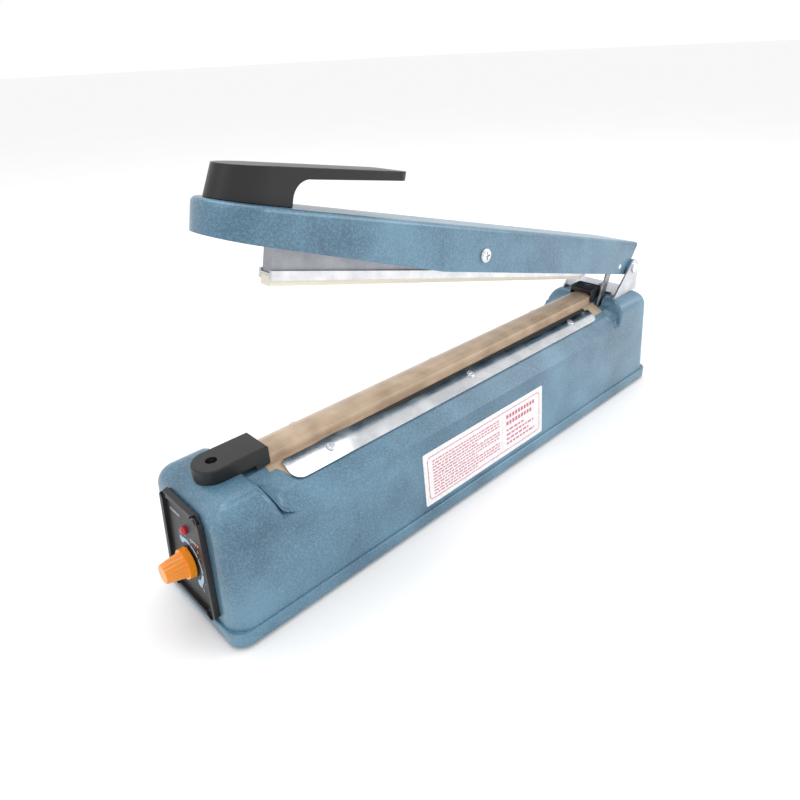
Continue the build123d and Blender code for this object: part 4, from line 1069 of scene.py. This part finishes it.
@dataclass
class SealingBar(Maker):
    """The heated jaw: bar, ribbon, release cloth, clamp strips, end caps."""

    half_width: float = 9.0
    flat: float = 4.0
    ridge_half: float = 11.0
    ridge_top: float = 79.8
    bar_top: float = 86.8
    shoulder: float = 1.7
    slope: float = 27.3
    skirt: float = 11.5
    lift: float = 0.12
    cover: float = 0.44
    thickness: float = 0.26
    front: float = -160.2
    rear: float = 168.2
    strip_front: float = -151.8
    tab: float = 0.3
    cloth_steps: int = 150

    def outline(self) -> list[tuple[float, float]]:
        """Trace half of the cloth's line.

        Returns:
            Points across and up, from the cloth's lower edge to the bar's top.
        """
        slope = math.radians(self.slope)
        foot = (
            self.ridge_half + self.skirt * math.cos(slope) + self.lift * math.sin(slope),
            self.ridge_top - self.skirt * math.sin(slope) + self.lift * math.cos(slope),
        )
        bend = (self.ridge_half + 0.03, self.ridge_top + self.lift)
        heel = (self.half_width + self.lift, self.ridge_top + self.lift)
        corner = (self.half_width + self.lift, self.bar_top - self.shoulder + self.lift)
        crest = (self.flat, self.bar_top + self.cover - 0.02)
        line = [foot]
        for share in (0.25, 0.5, 0.75, 0.94):
            line.append((foot[0] + (bend[0] - foot[0]) * share, foot[1] + (bend[1] - foot[1]) * share))
        line += [bend, (bend[0] - 0.9, bend[1]), (heel[0] + 0.3, heel[1] + 0.02), (heel[0], heel[1] + 0.35)]
        for share in (0.3, 0.6, 0.9):
            line.append((corner[0], heel[1] + (corner[1] - heel[1]) * share))
        line += [(corner[0] - 0.25, corner[1] + 0.18)]
        for share in (0.25, 0.5, 0.75, 0.95):
            across = corner[0] + (crest[0] - corner[0]) * share
            line.append((across, corner[1] + (crest[1] - corner[1]) * share))
        line.append((crest[0] - 0.6, crest[1]))
        line += [(across, crest[1] + 0.01) for across in (2.0, 1.3, 0.6)]
        return line

    def cloth(self) -> None:
        """Make the release cloth, pulled tight over the bar and tucked under the strips."""
        half = self.outline()
        line = half + [(-y, z) for y, z in reversed(half)]
        points: list[Point] = []
        for step in range(self.cloth_steps + 1):
            x = self.front + (self.rear - self.front) * step / self.cloth_steps
            held = min(1.0, max(0.0, (x - self.strip_front + 3.0) / 3.0))
            for y, z in line:
                spare = max(0.0, abs(y) - self.ridge_half) * (1 - self.tab) * (1 - held)
                y -= math.copysign(spare, y)
                z += spare * math.tan(math.radians(self.slope))
                ripple = 0.045 * math.sin(x * 0.23 + abs(y) * 0.4) * min(1.0, max(0.0, (abs(y) - 9.5) / 4))
                points.append((x, y, z + max(0.0, ripple)))
        count = len(line)
        faces = [
            (a, a + 1, a + count + 1, a + count)
            for step in range(self.cloth_steps)
            for a in range(step * count, step * count + count - 1)
        ]
        made = self.piece("release_cloth_sheet", points, faces, CLOTH)
        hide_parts("release_cloth")

    def build(self) -> None:
        """Build the jaw."""
        self.cloth()
        self.rounded("clamp_strip_right", STRIP, 0.28)
        self.rounded("clamp_strip_left", STRIP, 0.28)
        self.dress(BACKING, "strip_backing_right", "strip_backing_left")
        self.dress(SCREW, "strip_screws", "cap_screws")
        self.rounded("front_cap", BLACK, 0.35)
        self.rounded("rear_cap", BLACK, 0.35)
        self.dress(RAIL, "seal_bar")
        self.dress(TAPE, "insulating_tape")
        self.dress(RIBBON, "heating_ribbon")
        self.dress(BRASS, "ribbon_terminals")


@dataclass
class HingeGear(Maker):
    """The hinge bracket and pin, the return link with its spring, and the starting switch."""

    edge: float = 0.25

    def build(self) -> None:
        """Dress the gear and ease the sheet edges that show."""
        self.rounded("hinge_bracket", ZINC, self.edge)
        self.rounded("return_link", ZINC, self.edge, "return_link")
        self.dress(SCREW, "bracket_screws", "switch_screws")
        self.dress(PIN, "hinge_pin", "pin_clip", "spring_post")
        self.dress(WIRE, "return_spring", "switch_lever")
        self.dress(COMPONENT, "starting_switch")
        self.dress(BUTTON_RED, "switch_plunger")
        self.dress(ZINC, "switch_bracket")


@dataclass
class SwingArm(Maker):
    """The painted arm, its handle, and the floating press bar under it."""

    body = "arm"
    handle_ease: float = 0.8
    hinge: Point = (205.35, 0.0, 104.2)
    open_angle: float = 14.6
    handle_front: float = 383.8
    handle_seat: float = 21.0
    handle_height: float = 15.2
    lean_back: float = 3.4
    lean_length: float = 26.0

    def lean_handle(self, handle: bpy.types.Object) -> None:
        """Lean the handle's front face back.

        Args:
            handle: The handle.
        """
        turn = math.radians(self.open_angle)
        along = Vector((math.cos(turn), 0, -math.sin(turn)))
        above = Vector((math.sin(turn), 0, math.cos(turn)))
        for vertex in handle.data.vertices:
            place = vertex.co / MM - Vector(self.hinge)
            rise = min(1.2, max(0.0, (place.dot(above) - self.handle_seat) / self.handle_height))
            near = min(1.0, max(0.0, 1 - (place.dot(along) + self.handle_front) / self.lean_length))
            vertex.co += along * (self.lean_back * rise * near * MM)

    def build(self) -> None:
        """Dress the arm and what it carries."""
        self.dress(PAINT, "arm_casting")
        self.lean_handle(self.rounded("handle", BLACK, self.handle_ease))
        self.dress(SCREW, "handle_screws", "pivot_screw", "pivot_nut")
        self.dress(ZINC, "pivot_spacers")
        self.dress(PIN, "link_pin")
        self.rounded("press_rail", RAIL, 0.2, "press_bar")
        self.rounded("press_web", WEB, 0.25, "press_bar")
        self.dress(SCREW, "rail_rivets")
        self.rounded("silicone_strip", SILICONE, 0.5, "press_bar")


@dataclass
class Electrics(Maker):
    """The timer board and transformer that show through the open base."""

    def build(self) -> None:
        """Dress the electrical parts."""
        self.dress(BOARD, "timer_circuit_board")
        self.dress(BRASS, "board_standoffs")
        self.dress(CAN, "timing_capacitor")
        self.dress(COMPONENT, "timer_relay", "power_triac")
        self.dress(CORE, "transformer_core")
        self.dress(WINDING, "transformer_winding")
        self.dress(ZINC, "transformer_frame")
        self.dress(SCREW, "transformer_screws")


@dataclass
class Softbox:
    """One rectangular studio light."""

    name: str
    place: Point
    aim: Point
    size: tuple[float, float]
    power: float

    def hang(self) -> None:
        """Hang the light and aim it."""
        lamp = bpy.data.lights.new(self.name, "AREA")
        lamp.shape = "RECTANGLE"
        lamp.size, lamp.size_y = self.size
        lamp.energy = self.power
        made = bpy.data.objects.new(self.name, lamp)
        bpy.context.scene.collection.objects.link(made)
        made.location = self.place
        made.rotation_euler = (Vector(self.aim) - Vector(self.place)).to_track_quat("-Z", "Y").to_euler()


@dataclass
class Studio:
    """The pale floor, the soft lights and the camera."""

    camera_place: Point = (-294.73, -268.81, 274.08)
    camera_turn: Point = (60.876, 2.482, -43.781)
    lens: float = 28.15
    floor_tint: Colour = (0.94, 0.94, 0.94)
    sky: float = 1.0
    lights: tuple[Softbox, ...] = (
        Softbox("overhead", (0.1, 0.25, 1.3), (0.0, 0.0, 0.0), (1.2, 0.8), 6.0),
        Softbox("rear_side", (0.9, -0.7, 0.7), (0.15, 0.0, 0.08), (0.7, 0.7), 4.0),
        Softbox("front_left", (-0.9, -0.2, 0.9), (-0.1, 0.0, 0.1), (0.6, 0.6), 0.8),
    )

    def floor(self) -> None:
        """Lay a wide pale floor with a faint mottle."""
        recipe = Recipe("pale_floor")
        low = tuple(value * 0.985 for value in self.floor_tint)
        recipe.colours(recipe.noise(6, 3), low, self.floor_tint, 0.3, 0.7)
        recipe.fixed(roughness=0.85, specular_ior_level=0.2)
        reach = 30.0
        mesh = bpy.data.meshes.new("studio_floor")
        corners = [(-reach, -reach, 0), (reach, -reach, 0), (reach, reach, 0), (-reach, reach, 0)]
        mesh.from_pydata(corners, [], [(0, 1, 2, 3)])
        mesh.materials.append(recipe.material)
        made = bpy.data.objects.new("studio_floor", mesh)
        bpy.context.scene.collection.objects.link(made)

    def sky_light(self) -> None:
        """Surround the scene with soft white."""
        world = bpy.data.worlds.new("studio_sky")
        world.use_nodes = True
        back = world.node_tree.nodes["Background"]
        back.inputs["Color"].default_value = (1, 1, 1, 1)
        back.inputs["Strength"].default_value = self.sky
        bpy.context.scene.world = world

    def camera(self) -> None:
        """Set the camera."""
        data = bpy.data.cameras.new("studio_camera")
        data.lens = self.lens
        data.sensor_width = 36.0
        data.clip_start, data.clip_end = 0.01, 100.0
        made = bpy.data.objects.new("studio_camera", data)
        bpy.context.scene.collection.objects.link(made)
        made.location = tuple(value * MM for value in self.camera_place)
        made.rotation_euler = tuple(math.radians(value) for value in self.camera_turn)
        bpy.context.scene.camera = made

    def build(self) -> None:
        """Set the whole studio."""
        self.floor()
        self.sky_light()
        for light in self.lights:
            light.hang()
        self.camera()
        bpy.context.scene.view_settings.view_transform = "Standard"


def main() -> None:
    """Load the frame, build every sub-assembly and set the studio."""
    logging.basicConfig(level=logging.INFO, format="%(name)s: %(message)s")
    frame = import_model()
    BaseHousing().build()
    TimerPanel().build(frame["joints"])
    RatingLabel().build()
    SealingBar().build()
    HingeGear().build()
    SwingArm().build()
    Electrics().build()
    Studio().build()


if __name__ == "__main__":
    main()
